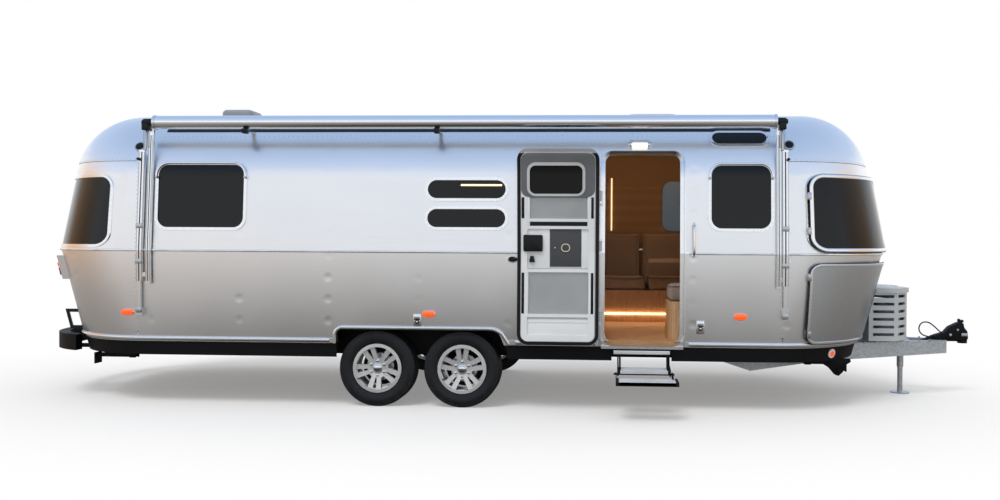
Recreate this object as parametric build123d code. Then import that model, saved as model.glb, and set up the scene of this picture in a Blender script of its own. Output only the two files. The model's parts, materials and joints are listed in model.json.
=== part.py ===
from build123d import *
import functools
import math
import os

# Travel caravan: riveted aluminium body on a twin-axle chassis. Millimetres, x forward
# from the tongue jack, y to the left, z up from the ground. The door is on the right.

# ---------------------------------------------------------------- body
BODY_NOSE = -275            # foremost and rearmost points of the body, at the belt
BODY_TAIL = -8365
HALF_WIDTH = 1250
CORNER_RADIUS = 900         # plan corners
END_RADIUS = 2000           # plan curve of nose and tail
ROOF_EDGE_RADIUS = 640
CROWN_RADIUS = 3200
WALL = 45
SKIRT_BOTTOM = 450
WALL_BOTTOM = 575
BELT = 1400
END_SEAM = 2225             # seam under the two domes
ROOF_SEAM = 2450            # seam of the roof panel over the side walls
CREST = 2740
FRONT_SEAM = -1400          # where the end caps meet the straight body
REAR_SEAM = -7200
SIDE_LEAN = 3.75            # degrees inward above the belt
END_LEAN = 11
SIDE_TUCK = 14              # inward at the skirt's lower edge
END_TUCK = 260
FLOOR = 45                  # deck thickness
FLOOR_TOP = WALL_BOTTOM + FLOOR
DECK_GAP = 0.3
SEAM = 0.3                  # half of the gap between neighbouring sheets

# ---------------------------------------------------------------- windows
FRAME_LAP = 18              # frame beyond the opening, on the skin
FRAME_LIP = 9               # frame over the edge of the glass
FRAME_PROUD = 8
GLASS = 8
# columns: x rear, x front, z low, z high, corner radius
RIGHT_WINDOWS = [
    (-7015, -6205, 1600, 2185, 100),
    (-4543, -3827, 1870, 2050, 90),
    (-4543, -3827, 1612, 1792, 90),
    (-2030, -1495, 1612, 2185, 100),
]
LEFT_WINDOWS = [
    (-7015, -6205, 1600, 2185, 100),
    (-5560, -5120, 1850, 2150, 90),
    (-4543, -3827, 1612, 2050, 100),
    (-2330, -1495, 1612, 2185, 100),
]
VISTA_CENTRE = -1765        # stadium window in the roof edge
VISTA_LENGTH = 500
VISTA_WIDTH = 150
VISTA_ANGLE = 38            # degrees of its outward direction above level
VISTA_HEIGHT = 2432
WRAP_SILL = 1440            # windows that wrap the body corners
WRAP_HEAD = 2075
WRAP_SIDE = -1180           # rear edge on the side wall
WRAP_NOSE = 440             # inner edge, from the centreline
WRAP_RADIUS = 110
END_WINDOW_HALF = 340       # centre windows in nose and tail

# ---------------------------------------------------------------- entry door
DOOR_HINGE_X = -2990
HINGE_OUT = 28              # hinge axis outside the skin
DOOR_REAR = -2980           # leaf as closed
DOOR_FRONT = -2262
DOOR_LOW = 590
DOOR_HIGH = 2300
DOOR_RADIUS = 95
DOOR_GAP = 8
LEAF = 30                   # leaf thickness
LEAF_SWEEP = 728.5          # latch edge of the leaf, cut round about the hinge axis
JAMB_LAP = 28               # jamb inside the leaf's outline
JAMB_DEPTH = 30             # jamb inward of the wall
SEAL_GAP = 6
HINGE_PIN = 7
HINGE_HEIGHTS = (840, 1460, 1900)
DOOR_WINDOW = (1880, 2225, 40)      # z low, z high, inset from the leaf's sides
SCREEN_DEPTH = 22           # screen door behind the leaf
SCREEN_INSET = 40
SCREEN_RAIL = 52
SCREEN_BARS = [840, 1232, 1608, 1672, 1885]     # heights of the cross bars' lower edges
SCREEN_BAR = 26
SILL_OUT = 26

# ---------------------------------------------------------------- wheels and axles
AXLES = [("front", -4229, 90), ("rear", -5001, -99)]    # name, x, angle of one spoke pair
TYRE_RADIUS = 345
TYRE_HALF_WIDTH = 102
TREAD_HALF_WIDTH = 80
BEAD_RADIUS = 205
BEAD_HALF_WIDTH = 80
FLANGE_RADIUS = 221
FLANGE = 11
BARREL = 14
WHEEL_Y = 1085
SPOKE_PAIRS = 5
DISC_BACK = 40
DISC_FRONT = 66
HUB_RADIUS = 62
DRUM_RADIUS = 125
DRUM_DEPTH = 70
SPINDLE_RADIUS = 20
RUNNING_FIT = 0.05
ARM_LEAD = 170              # torsion tube ahead of the spindle
ARM_PLATE = 35
TUBE_RADIUS = 45
ARCH_REAR = -5358
ARCH_FRONT_TOP = -3895
ARCH_FRONT_LOW = -3815
ARCH_TOP = 706
ARCH_TRIM = 26
ARCH_PROUD = 12
WHEEL_BOX_TOP = 805
WHEEL_BOX_INNER = 905
WHEEL_BOX_SHEET = 4

# ---------------------------------------------------------------- chassis and drawbar
RAIL_OUTER = 910
RAIL_WIDTH = 60
RAIL_HEIGHT = 135
RAIL_REAR = -7800
RAIL_FRONT = -1050
CROSS_MEMBERS = [-7760, -6500, -5500, -3400, -2100, -1080]
CROSS_WIDTH = 60
CROSS_HEIGHT = 100
DRAWBAR_REAR = -1990
DRAWBAR_FRONT = 420
DRAWBAR_REAR_Y = 820
DRAWBAR_FRONT_Y = 68
DRAWBAR_WIDTH = 56
DRAWBAR_TOP = 540
DRAWBAR_NOTCH = 6           # clearance of the skirt around the drawbar
# columns: x, height of the drawbar's lower edge
DRAWBAR_UNDERSIDE = [(DRAWBAR_REAR, 440), (-1598, 302), (-907, 372), (DRAWBAR_FRONT, 414)]

# ---------------------------------------------------------------- tongue
BALL_X = 606
BALL_RADIUS = 25
COUPLER_TOP = 585
COUPLER_BOTTOM = 505
COUPLER_WIDTH = 84
COUPLER_NOSE = 652
LEVER_X = 315               # foot of the handbrake lever
JACK_TUBE_RADIUS = 32
JACK_LEG_RADIUS = 25
JACK_FIT = 0.1
JACK_TUBE_LOW = 262
JACK_TUBE_TOP = 760
JACK_FOOT = 90
JACK_FOOT_THICK = 10
LOCKER_REAR = -430
LOCKER_SHOULDER = -170
LOCKER_FRONT = -22
LOCKER_HALF = 425
LOCKER_FRONT_HALF = 255
LOCKER_NICHE_HALF = 75
LOCKER_NICHE_BACK = -75
LOCKER_BOTTOM = 560
LOCKER_TOP = 1022
LOCKER_CLEAR = 50           # between the body's nose and the locker
LOCKER_SHEET = 12
LID_HEIGHT = 45
LID_OVERHANG = 14
LID_REAR = -368             # the lid ends here, behind it the top is fixed
LID_BARREL = 7
SLOTS = 6
SLOT_FIRST = 988            # height of the top slot
SLOT_PITCH = 73
SLOT_HEIGHT = 28
BOTTLE_RADIUS = 118
BOTTLE_HEIGHT = 330

# ---------------------------------------------------------------- steadies, step, bumper
STEADY_LENGTH = 350
STEADY_WIDTH = 42
STEADY_PIVOT_Z = 396
# columns: name, pivot x, y, direction of the folded arm
STEADIES = [
    ("front_right", -1080, -740, 1),
    ("front_left", -1080, 740, 1),
    ("rear_right", -7420, -880, -1),
    ("rear_left", -7420, 880, -1),
]
STEP_BAR = (-2875, -2373, 512, 548)         # x rear, x front, z low, z high
UPPER_TREAD = (-2837, -2379, -1470, -1275)   # x rear, x front, y outer, y inner
UPPER_TREAD_TOP = 395
LOWER_TREAD = (-2850, -2326, -1725, -1522)
LOWER_TREAD_TOP = 338
TREAD = 32
STEP_ARM = 12
STEP_PIN = 9
STEP_HANGER_INNER = -1000   # where the step's frame meets the chassis
BUMPER_REAR = -8440
BUMPER_TOP = 592
BUMPER_HEIGHT = 150
BUMPER_THICK = 95
BUMPER_FRONT = -7950
BUMPER_HALF = 1000
BUMPER_CORNER = 700
BUMPER_END_RADIUS = 1900
TAIL_LAMP = (1115, 1335)    # z low, z high
TAIL_LAMP_Y = (760, 900)
TAIL_LAMP_OUT = 55
TAIL_HANDLE = (625, 815)
TAIL_HANDLE_Y = (700, 730)
TAIL_HANDLE_OUT = 120

# ---------------------------------------------------------------- awning
AWNING_REAR = -7030
AWNING_FRONT = -1478
AWNING_CAP = 20              # end caps of the roller, between roller and arm
CAP_GAP = 0.3
AWNING_Z = 2560
AWNING_Y = 1200
AWNING_RADIUS = 60
# columns: x of the outer channel, x of the inner arm, height of the foot
AWNING_ARMS = [(-7155, -7072, 832), (-1385, -1440, 874)]
AWNING_CRADLES = [-6200, -4455]
CRADLE_HALF = 16
CRADLE_DEPTH = 26
CRADLE_GAP = 0.3
CHANNEL_WIDTH = 56
ARM_WIDTH = 44
ARM_THICK = 24
ARM_STANDOFF = 14
ARM_LOW = 1120
CHANNEL_TOP = 2310
FOOT_WIDTH = 30

# ---------------------------------------------------------------- roof
# columns: name, x, half size of base, height of lid over the crest, radius of its top edge
ROOF_VENTS = [("fan_vent", -6745, 165, 90, 44), ("rooflight", -2500, 240, 24, 10)]
VENT_CURB = 28
VENT_BASE = 8               # curb over the crest
VENT_GAP = 0.5
VENT_BARREL = 4
VENT_BARREL_OUT = 8         # hinge axis outside the curb

# ---------------------------------------------------------------- interior
SEAT_BASE_TOP = 965
SEAT_CUSHION = 145
BACK_TOP = 1600
LOUNGE_REAR = -3020
LOUNGE_FRONT = -1420
LOUNGE_INNER = 640
RIGHT_SEAT_REAR = -2200
SEAT_END = -2390            # rounded end of the right seat, in the doorway's view
SEAT_END_SIDE = -1100
SEAT_END_RADIUS = 120
TABLE_TOP = 1325
TABLE_THICK = 30
PANEL = 20
GALLEY = (-5250, -3120)
GALLEY_TOP = 1520
TALL_UNIT = (-4150, -3090)
TALL_UNIT_TOP = 2400
PARTITION_X = -5800
BED_REAR = -7900
BED_FRONT = -6150
BED_TOP = 1120
BED_INNER = 640
MATTRESS = 150


# ================================================================ helpers
def box(x0, x1, y0, y1, z0, z1):
    return Pos((x0 + x1) / 2, (y0 + y1) / 2, (z0 + z1) / 2) * Box(x1 - x0, y1 - y0, z1 - z0)


def bar_y(x, z, radius, y0, y1):
    """Round bar along y."""
    return Pos(x, (y0 + y1) / 2, z) * Rot(90, 0, 0) * Cylinder(radius, abs(y1 - y0))


def side_face(points, radii=None):
    """Face in the x-z plane with rounded corners, radii by corner number."""
    face = make_face(Polyline(*[(x, 0, z) for x, z in points], close=True))
    for number, radius in (radii or {}).items():
        corner = Vector(points[number][0], 0, points[number][1])
        vertex = min(face.vertices(), key=lambda v: (Vector(*v) - corner).length)
        face = fillet(vertex, radius)
    return face


def side_prism(x0, x1, z0, z1, radius, y0, y1):
    """Rounded rectangle in the x-z plane, extruded from y0 to y1."""
    radius = min(radius, (z1 - z0) / 2 - 0.5)
    solid = extrude(RectangleRounded(x1 - x0, z1 - z0, radius), amount=abs(y1 - y0))
    return Pos((x0 + x1) / 2, max(y0, y1), (z0 + z1) / 2) * Rot(90, 0, 0) * solid


def plan_prism(points, z0, z1):
    return Pos(0, 0, z0) * extrude(make_face(Polyline(*points, close=True)), amount=z1 - z0)


def grown(window, margin):
    x0, x1, z0, z1, radius = window
    return x0 - margin, x1 + margin, z0 - margin, z1 + margin, radius + margin


def mirror_y(shape):
    return mirror(shape, about=Plane.XZ)


def save(name, *shapes):
    solids = [solid for shape in shapes for solid in shape.solids()]
    part = solids[0] if len(solids) == 1 else Compound(solids)
    part.label = name
    export_step(part, f"parts/{name}.step")


# ================================================================ body envelope
def plan_outline(z, half, nose, tail, corner, end):
    """Closed outline at one height: straight sides, corner arcs, wide end arcs."""
    y = half - corner
    depth = end - math.sqrt((end - corner) ** 2 - y ** 2)
    front, rear = nose - depth, tail + depth
    reach = end / (end - corner)
    join_y = y * reach
    join_front = (nose - end) + (front - (nose - end)) * reach
    join_rear = (tail + end) + (rear - (tail + end)) * reach
    turn = (math.asin(y / (end - corner)) + math.pi / 2) / 2
    bulge_x, bulge_y = corner * math.cos(turn), y + corner * math.sin(turn)
    return Wire([
        Line((rear, -half, z), (front, -half, z)),
        ThreePointArc((front, -half, z), (front + bulge_x, -bulge_y, z), (join_front, -join_y, z)),
        ThreePointArc((join_front, -join_y, z), (nose, 0, z), (join_front, join_y, z)),
        ThreePointArc((join_front, join_y, z), (front + bulge_x, bulge_y, z), (front, half, z)),
        Line((front, half, z), (rear, half, z)),
        ThreePointArc((rear, half, z), (rear - bulge_x, bulge_y, z), (join_rear, join_y, z)),
        ThreePointArc((join_rear, join_y, z), (tail, 0, z), (join_rear, -join_y, z)),
        ThreePointArc((join_rear, -join_y, z), (rear - bulge_x, -bulge_y, z), (rear, -half, z)),
    ])


def lean(z):
    """Inward shift of the sides and of the ends at a height."""
    if z > BELT:
        rise = z - BELT
        return rise * math.tan(math.radians(SIDE_LEAN)), rise * math.tan(math.radians(END_LEAN))
    share = (BELT - z) / (BELT - SKIRT_BOTTOM)
    return SIDE_TUCK * share, END_TUCK * share


@functools.cache
def envelope(inset):
    """The body's outer form, moved inward by inset (outward if negative)."""
    outlines = [
        plan_outline(
            z, HALF_WIDTH - side - inset, BODY_NOSE - end - inset, BODY_TAIL + end + inset,
            CORNER_RADIUS - inset, END_RADIUS - inset,
        )
        for z in (SKIRT_BOTTOM, BELT, CREST + 200)
        for side, end in [lean(z)]
    ]
    walls = Solid.make_loft(outlines, ruled=True)
    middle = (BODY_NOSE + BODY_TAIL) / 2
    length = 1.5 * (BODY_NOSE - BODY_TAIL)
    crown = Pos(middle, 0, CREST - CROWN_RADIUS) * Rot(0, 90, 0)
    blunt = walls & crown * Cylinder(CROWN_RADIUS - inset, length)
    edges = blunt.edges().filter_by(lambda edge: edge.center().Z > END_SEAM)
    return fillet(edges, ROOF_EDGE_RADIUS - inset)


def skin(tool, outer, inner):
    """The part of a tool's solid that lies between two insets of the body's form."""
    return (tool & envelope(outer)) - envelope(inner)


def side_of(y_sign, window, margin=0):
    """A tool through one side wall, for a window or a panel."""
    x0, x1, z0, z1, radius = grown(window, margin)
    return side_prism(x0, x1, z0, z1, radius, y_sign * (HALF_WIDTH - 300), y_sign * (HALF_WIDTH + 100))


BODY_MIDDLE = (BODY_NOSE + BODY_TAIL) / 2


def corner_tool(rear, inner, z0, z1, radius):
    """A tool through the front right corner, along its diagonal, with edges that follow the walls."""
    diagonal = math.sqrt(0.5)
    points = []
    for z in (z0, z1):
        side, end = lean(z)
        points.append((diagonal * (rear - HALF_WIDTH + side), z))
        points.append((diagonal * (BODY_NOSE - end - inner), z))
    low_near, low_far, high_near, high_far = points
    outline = [low_near, low_far, high_far, high_near]
    face = side_face(outline, {number: radius for number in range(4)})
    block = extrude(face, amount=2900, dir=(0, -1, 0))
    return Rot(0, 0, 45) * Pos(0, 400, 0) * block


def four_corners(shape):
    """The front right shape and its copies at the other three corners."""
    pair = [shape, mirror_y(shape)]
    return pair + [mirror(item, about=Plane.YZ.offset(BODY_MIDDLE)) for item in pair]


def end_tool(margin, nose):
    half = END_WINDOW_HALF + margin
    z0, z1 = WRAP_SILL - margin, WRAP_HEAD + margin
    sketch = RectangleRounded(2 * half, z1 - z0, WRAP_RADIUS + margin)
    x = BODY_NOSE - 700 if nose else BODY_TAIL - 200
    return Pos(x, 0, (z0 + z1) / 2) * (Plane.YZ * extrude(sketch, amount=900))


def vista_tool(margin):
    size = (VISTA_LENGTH + 2 * margin, VISTA_WIDTH + 2 * margin)
    sketch = SlotOverall(size[0], size[1])
    block = Pos(0, 0, -150) * extrude(sketch, amount=300)
    reach = HALF_WIDTH - 170
    return Pos(VISTA_CENTRE, -reach, VISTA_HEIGHT) * Rot(90 - VISTA_ANGLE, 0, 0) * block


def door_tool(margin):
    window = (DOOR_REAR, DOOR_FRONT, DOOR_LOW, DOOR_HIGH, DOOR_RADIUS)
    return side_of(-1, window, margin)


def arch_tool(margin, y_sign):
    outline = [
        (ARCH_REAR - margin, SKIRT_BOTTOM - 50), (ARCH_REAR - margin, ARCH_TOP + margin),
        (ARCH_FRONT_TOP + margin, ARCH_TOP + margin), (ARCH_FRONT_LOW + margin, WALL_BOTTOM - 60),
        (ARCH_FRONT_LOW + margin, SKIRT_BOTTOM - 50),
    ]
    face = side_face(outline, {1: 55 + margin, 2: 90 + margin})
    solid = extrude(face, amount=400, dir=(0, 1, 0))
    return Pos(0, 1000 if y_sign > 0 else -1400, 0) * solid


# ================================================================ body panels
def window_tools(margin):
    tools = [side_of(-1, window, margin) for window in RIGHT_WINDOWS]
    tools += [side_of(1, window, margin) for window in LEFT_WINDOWS]
    wrap = corner_tool(WRAP_SIDE - margin, WRAP_NOSE - margin, WRAP_SILL - margin,
                       WRAP_HEAD + margin, WRAP_RADIUS + margin)
    tools += four_corners(wrap)
    tools += [end_tool(margin, True), end_tool(margin, False)]
    vista = vista_tool(margin)
    return tools + [vista, mirror_y(vista)]


def slab(z0, z1, x0=BODY_TAIL - 100, x1=BODY_NOSE + 100, y0=-HALF_WIDTH - 100, y1=HALF_WIDTH + 100):
    return box(x0, x1, y0, y1, z0, z1)


def body_panels():
    shell = envelope(0) - envelope(WALL)
    for tool in window_tools(0) + [door_tool(DOOR_GAP), arch_tool(0, -1), arch_tool(0, 1)]:
        shell = shell - tool
    for _, x, half, _, _ in ROOF_VENTS:
        size = half - VENT_CURB
        shell = shell - box(x - size, x + size, -size, size, CREST - 200, CREST + 50)
    above = CREST + 50
    right = shell & slab(WALL_BOTTOM, ROOF_SEAM, REAR_SEAM, FRONT_SEAM, y1=0)
    rear, front, sill = DOOR_REAR - DOOR_GAP, DOOR_FRONT + DOOR_GAP, DOOR_LOW + 10
    for x in (rear, front):
        for low, high in ((0, sill), (DOOR_HIGH - DOOR_RADIUS, above)):
            right -= box(x - SEAM, x + SEAM, -HALF_WIDTH - 50, 0, low, high)
    right -= box(rear - SEAM, front + SEAM, -HALF_WIDTH - 50, 0, sill - SEAM, sill + SEAM)
    save("side_wall_right", right)
    save("side_wall_left", shell & slab(WALL_BOTTOM, ROOF_SEAM, REAR_SEAM, FRONT_SEAM, y0=0))
    save("front_wall", shell & slab(WALL_BOTTOM, END_SEAM, FRONT_SEAM))
    save("rear_wall", shell & slab(WALL_BOTTOM, END_SEAM, x1=REAR_SEAM))
    roof = shell & slab(ROOF_SEAM, above, REAR_SEAM, FRONT_SEAM)
    for _, middle, half, _, _ in ROOF_VENTS:
        for x in (middle - half + VENT_CURB, middle + half - VENT_CURB):
            roof -= box(x - SEAM, x + SEAM, -HALF_WIDTH, HALF_WIDTH, 0, above)
    save("roof_panel", roof)
    save("front_dome", shell & slab(END_SEAM, above, FRONT_SEAM))
    save("rear_dome", shell & slab(END_SEAM, above, x1=REAR_SEAM))


def floor_deck():
    deck = slab(WALL_BOTTOM, FLOOR_TOP) & envelope(WALL + DECK_GAP)
    for sign in (-1, 1):
        deck = deck - wheel_box_block(sign)
    save("floor_deck", deck)


def wheel_box_block(sign, sheet=0):
    y0, y1 = sorted((sign * (WHEEL_BOX_INNER + sheet), sign * (HALF_WIDTH + 50)))
    return box(ARCH_REAR - 60 + sheet, ARCH_FRONT_LOW + 50 - sheet, y0, y1,
               WALL_BOTTOM - (1 if sheet else 0), WHEEL_BOX_TOP - sheet)


def wheel_boxes():
    boxes = []
    for sign in (-1, 1):
        sheet = wheel_box_block(sign) - wheel_box_block(sign, WHEEL_BOX_SHEET)
        boxes.append(sheet & envelope(WALL + DECK_GAP))
    save("wheel_boxes", *boxes)


def windows():
    glass, frames = [], []
    for opening, outer, lip in zip(window_tools(-0.3), window_tools(FRAME_LAP), window_tools(-FRAME_LIP)):
        glass.append(skin(opening, 0, GLASS))
        frames.append(skin(outer - lip, -FRAME_PROUD, 0))
    save("window_glass", *glass)
    save("window_frames", *frames)


def body_trim():
    """Belt moulding, bottom rail and arch trims, on the skin."""
    doorway = box(DOOR_HINGE_X - 16, DOOR_FRONT + 20, -HALF_WIDTH - 100, 0, WALL_BOTTOM - 20, BELT + 60)
    belt = skin(slab(BELT - 12, BELT + 12), -6, 0) - doorway
    rail = skin(slab(WALL_BOTTOM + 8, WALL_BOTTOM + 44), -9, 0) - doorway
    for sign in (-1, 1):
        rail = rail - arch_tool(ARCH_TRIM, sign)
    arches = [
        skin(arch_tool(ARCH_TRIM, sign) - arch_tool(0, sign), -ARCH_PROUD, 0) & slab(WALL_BOTTOM, CREST)
        for sign in (-1, 1)
    ]
    save("body_trim", belt, rail, *arches)


def skirt():
    ring = skin(slab(SKIRT_BOTTOM, WALL_BOTTOM), 12, 20)
    for sign in (-1, 1):
        ring = ring - arch_tool(0, sign) - drawbar_rail(sign, DRAWBAR_NOTCH)
    ring -= box(STEP_BAR[0] - 12, STEP_BAR[1] + 12, -HALF_WIDTH - 50, 0, SKIRT_BOTTOM, STEP_BAR[3] + 6)
    save("skirt", ring)


def front_guards():
    """Dark window guards and metal stone guards, held off the front corners by blocks."""
    # columns: name, sill, head, corner radius
    table = [("window_guards", 1422, 2100, 120), ("stone_guards", 612, 1316, 80)]
    for name, low, high, radius in table:
        outline = corner_tool(WRAP_SIDE - 20, WRAP_NOSE - 20, low, high, radius)
        panel = skin(outline, -38, -32)
        post_heights = (low + 110, high - 110)
        side_posts = [skin(box(-1150, -1110, -1400, -900, z - 30, z + 30), -32, 0) for z in post_heights]
        nose_posts = [skin(box(-800, 0, -540, -500, z - 30, z + 30), -32, 0) for z in post_heights]
        guard = panel.fuse(*[s for post in side_posts + nose_posts for s in post.solids()])
        save(name, guard, mirror_y(guard))


# ================================================================ entry door
def opened(shape):
    """A closed door piece, swung by half a turn about the hinge axis."""
    hinge = Axis((DOOR_HINGE_X, -HALF_WIDTH - HINGE_OUT, 0), (0, 0, 1))
    return shape.rotate(hinge, 180)


def door_sweep():
    """Room about the hinge axis that the leaf's latch edge stays within."""
    reach = Pos(DOOR_HINGE_X, -HALF_WIDTH - HINGE_OUT, DOOR_LOW - 10)
    return reach * Cylinder(LEAF_SWEEP, DOOR_HIGH, align=(Align.CENTER, Align.CENTER, Align.MIN))


def entry_door():
    z0, z1, side = DOOR_WINDOW
    window = (DOOR_REAR + side, DOOR_FRONT - side, z0, z1, DOOR_RADIUS - side)
    leaf = (skin(door_tool(0), 0, LEAF) - side_of(-1, window)) & door_sweep()
    axis_y = -HALF_WIDTH - HINGE_OUT
    for z in HINGE_HEIGHTS:
        plate = box(DOOR_REAR + 2, DOOR_REAR + 40, axis_y - 6, axis_y + 200, z - 40, z + 40) - envelope(0)
        plate += box(DOOR_HINGE_X, DOOR_REAR + 40, axis_y - 6, axis_y + 6, z - 40, z + 40)
        pin = Pos(DOOR_HINGE_X, axis_y, z)
        leaf += plate + pin * Cylinder(HINGE_PIN + 3, 80) + pin * Cylinder(HINGE_PIN, 140)
    save("entry_door", opened(leaf))
    pane = skin(side_of(-1, grown(window, -DECK_GAP)), 4, 4 + GLASS)
    save("door_glass", opened(pane))
    frame = skin(door_tool(-SCREEN_INSET), LEAF, LEAF + SCREEN_DEPTH) & door_sweep()
    lows = [DOOR_LOW + SCREEN_INSET + SCREEN_RAIL] + [z + SCREEN_BAR for z in SCREEN_BARS]
    highs = SCREEN_BARS + [DOOR_HIGH - SCREEN_INSET - SCREEN_RAIL]
    edge = SCREEN_INSET + SCREEN_RAIL
    for low, high in zip(lows, highs):
        frame -= side_of(-1, (DOOR_REAR + edge, DOOR_FRONT - edge, low, high, 12))
    save("screen_door_frame", opened(frame))


def door_frame():
    outer, inner = DOOR_GAP - DECK_GAP, -JAMB_LAP
    jamb = skin(door_tool(outer) - door_tool(inner), LEAF + SEAL_GAP, WALL + JAMB_DEPTH)
    jamb = jamb & slab(FLOOR_TOP + DECK_GAP, CREST)
    corner = DOOR_HIGH - DOOR_RADIUS
    jamb = jamb - slab(corner - SEAM, corner + SEAM)
    lap = DOOR_GAP + 12
    trim = skin(door_tool(lap) - door_tool(DOOR_GAP), -FRAME_PROUD, 0) & slab(WALL_BOTTOM + 8, CREST)
    axis_y = -HALF_WIDTH - HINGE_OUT
    for z in HINGE_HEIGHTS:
        for low, high in ((z - 70, z - 45), (z + 45, z + 70)):
            lug = box(DOOR_HINGE_X - 12, DOOR_HINGE_X + 2, axis_y - 12, axis_y + 200, low, high)
            lug += box(DOOR_HINGE_X - 12, DOOR_HINGE_X + 12, axis_y - 12, axis_y + 12, low, high)
            lug -= envelope(0)
            trim += lug - Pos(DOOR_HINGE_X, axis_y, z) * Cylinder(HINGE_PIN + RUNNING_FIT, 200)
    sill = skin(slab(WALL_BOTTOM - 17, WALL_BOTTOM + 8, DOOR_REAR, DOOR_FRONT, y1=0), -SILL_OUT, 0)
    save("door_frame", jamb, trim, sill)


# ================================================================ wheels
def wheel_place(shape, x, sign):
    return Pos(x, sign * WHEEL_Y, TYRE_RADIUS) * Rot(-90 * sign, 0, 0) * shape


def tyre():
    flange = FLANGE_RADIUS + 1
    outline = [
        Line((flange, -BEAD_HALF_WIDTH), (BEAD_RADIUS, -BEAD_HALF_WIDTH)),
        Line((BEAD_RADIUS, -BEAD_HALF_WIDTH), (BEAD_RADIUS, BEAD_HALF_WIDTH)),
        Line((BEAD_RADIUS, BEAD_HALF_WIDTH), (flange, BEAD_HALF_WIDTH)),
        ThreePointArc((flange, BEAD_HALF_WIDTH), (272, TYRE_HALF_WIDTH), (322, 94)),
        ThreePointArc((322, 94), (338, 90), (TYRE_RADIUS, TREAD_HALF_WIDTH)),
        Line((TYRE_RADIUS, TREAD_HALF_WIDTH), (TYRE_RADIUS, -TREAD_HALF_WIDTH)),
        ThreePointArc((TYRE_RADIUS, -TREAD_HALF_WIDTH), (338, -90), (322, -94)),
        ThreePointArc((322, -94), (272, -TYRE_HALF_WIDTH), (flange, -BEAD_HALF_WIDTH)),
    ]
    section = Rot(90, 0, 0) * make_face(outline)
    return revolve(section, Axis.Z)


def wheel_rim(angle):
    lip = BEAD_HALF_WIDTH + FLANGE
    barrel = [
        (BEAD_RADIUS - BARREL, -lip), (FLANGE_RADIUS, -lip), (FLANGE_RADIUS, -BEAD_HALF_WIDTH),
        (BEAD_RADIUS, -BEAD_HALF_WIDTH), (BEAD_RADIUS, BEAD_HALF_WIDTH),
        (FLANGE_RADIUS, BEAD_HALF_WIDTH), (FLANGE_RADIUS, lip), (BEAD_RADIUS - BARREL, lip),
    ]
    hub = [
        (0, -BEAD_HALF_WIDTH - 15), (DRUM_RADIUS, -BEAD_HALF_WIDTH - 15),
        (DRUM_RADIUS, -BEAD_HALF_WIDTH - 15 + DRUM_DEPTH), (HUB_RADIUS, -BEAD_HALF_WIDTH - 15 + DRUM_DEPTH),
        (HUB_RADIUS, DISC_FRONT), (0, DISC_FRONT),
    ]
    inner = BEAD_RADIUS - BARREL
    disc = [(HUB_RADIUS - 5, DISC_BACK - 12), (inner + 1, DISC_BACK + 12), (inner + 1, DISC_FRONT + 12),
            (HUB_RADIUS - 5, DISC_FRONT)]
    rings = [
        revolve(Rot(90, 0, 0) * make_face(Polyline(*points, close=True)), Axis.Z)
        for points in (barrel, hub)
    ]
    spokes = revolve(Rot(90, 0, 0) * make_face(Polyline(*disc, close=True)), Axis.Z)
    step = 360 / SPOKE_PAIRS
    for k in range(SPOKE_PAIRS):
        twin = Rot(0, 0, angle + k * step)
        slot = Polyline((88, -6), (inner - 6, -16), (inner - 6, 16), (88, 6), close=True)
        gap = Polyline((92, -14), (inner - 4, -58), (inner - 4, 58), (92, 14), close=True)
        spokes = spokes - twin * extrude(make_face(slot), amount=200)
        spokes = spokes - twin * Rot(0, 0, step / 2) * extrude(make_face(gap), amount=200)
    rim = rings[0].fuse(spokes, rings[1])
    bore = Pos(0, 0, -100) * Cylinder(
        SPINDLE_RADIUS + RUNNING_FIT, 105, align=(Align.CENTER, Align.CENTER, Align.MIN))
    return rim - bore


def wheels():
    plain_tyre = tyre()
    for name, x, angle in AXLES:
        for side, sign in (("right", -1), ("left", 1)):
            save(f"tyre_{name}_{side}", wheel_place(plain_tyre, x, sign))
            save(f"wheel_{name}_{side}", wheel_place(wheel_rim(angle), x, sign))


def axles():
    """Torsion axles: a tube under the rails, trailing arms and spindles."""
    tube_z = WALL_BOTTOM - RAIL_HEIGHT - TUBE_RADIUS
    arm_outer = WHEEL_Y - BEAD_HALF_WIDTH - 35
    pieces = []
    for _, x, _ in AXLES:
        tube_x = x + ARM_LEAD
        axle = bar_y(tube_x, tube_z, TUBE_RADIUS, -arm_outer, arm_outer)
        for sign in (-1, 1):
            rise = math.degrees(math.atan2(tube_z - TYRE_RADIUS, ARM_LEAD))
            y_mid = sign * (arm_outer - ARM_PLATE / 2)
            arm = Pos(tube_x, y_mid, tube_z) * Rot(0, -rise, 0) * Pos(-ARM_LEAD / 2, 0, 0)
            length = math.hypot(ARM_LEAD, tube_z - TYRE_RADIUS)
            axle += arm * Box(length, ARM_PLATE, 70)
            axle += bar_y(x, TYRE_RADIUS, 42, sign * (arm_outer - ARM_PLATE), sign * arm_outer)
            axle += bar_y(x, TYRE_RADIUS, SPINDLE_RADIUS, sign * (arm_outer - 1), sign * (WHEEL_Y - 2))
            y0, y1 = sorted((sign * RAIL_OUTER, sign * (RAIL_OUTER - RAIL_WIDTH)))
            axle += box(tube_x - 60, tube_x + 60, y0, y1, tube_z, WALL_BOTTOM - RAIL_HEIGHT)
        pieces.append(axle)
    save("axles", *pieces)


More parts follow.
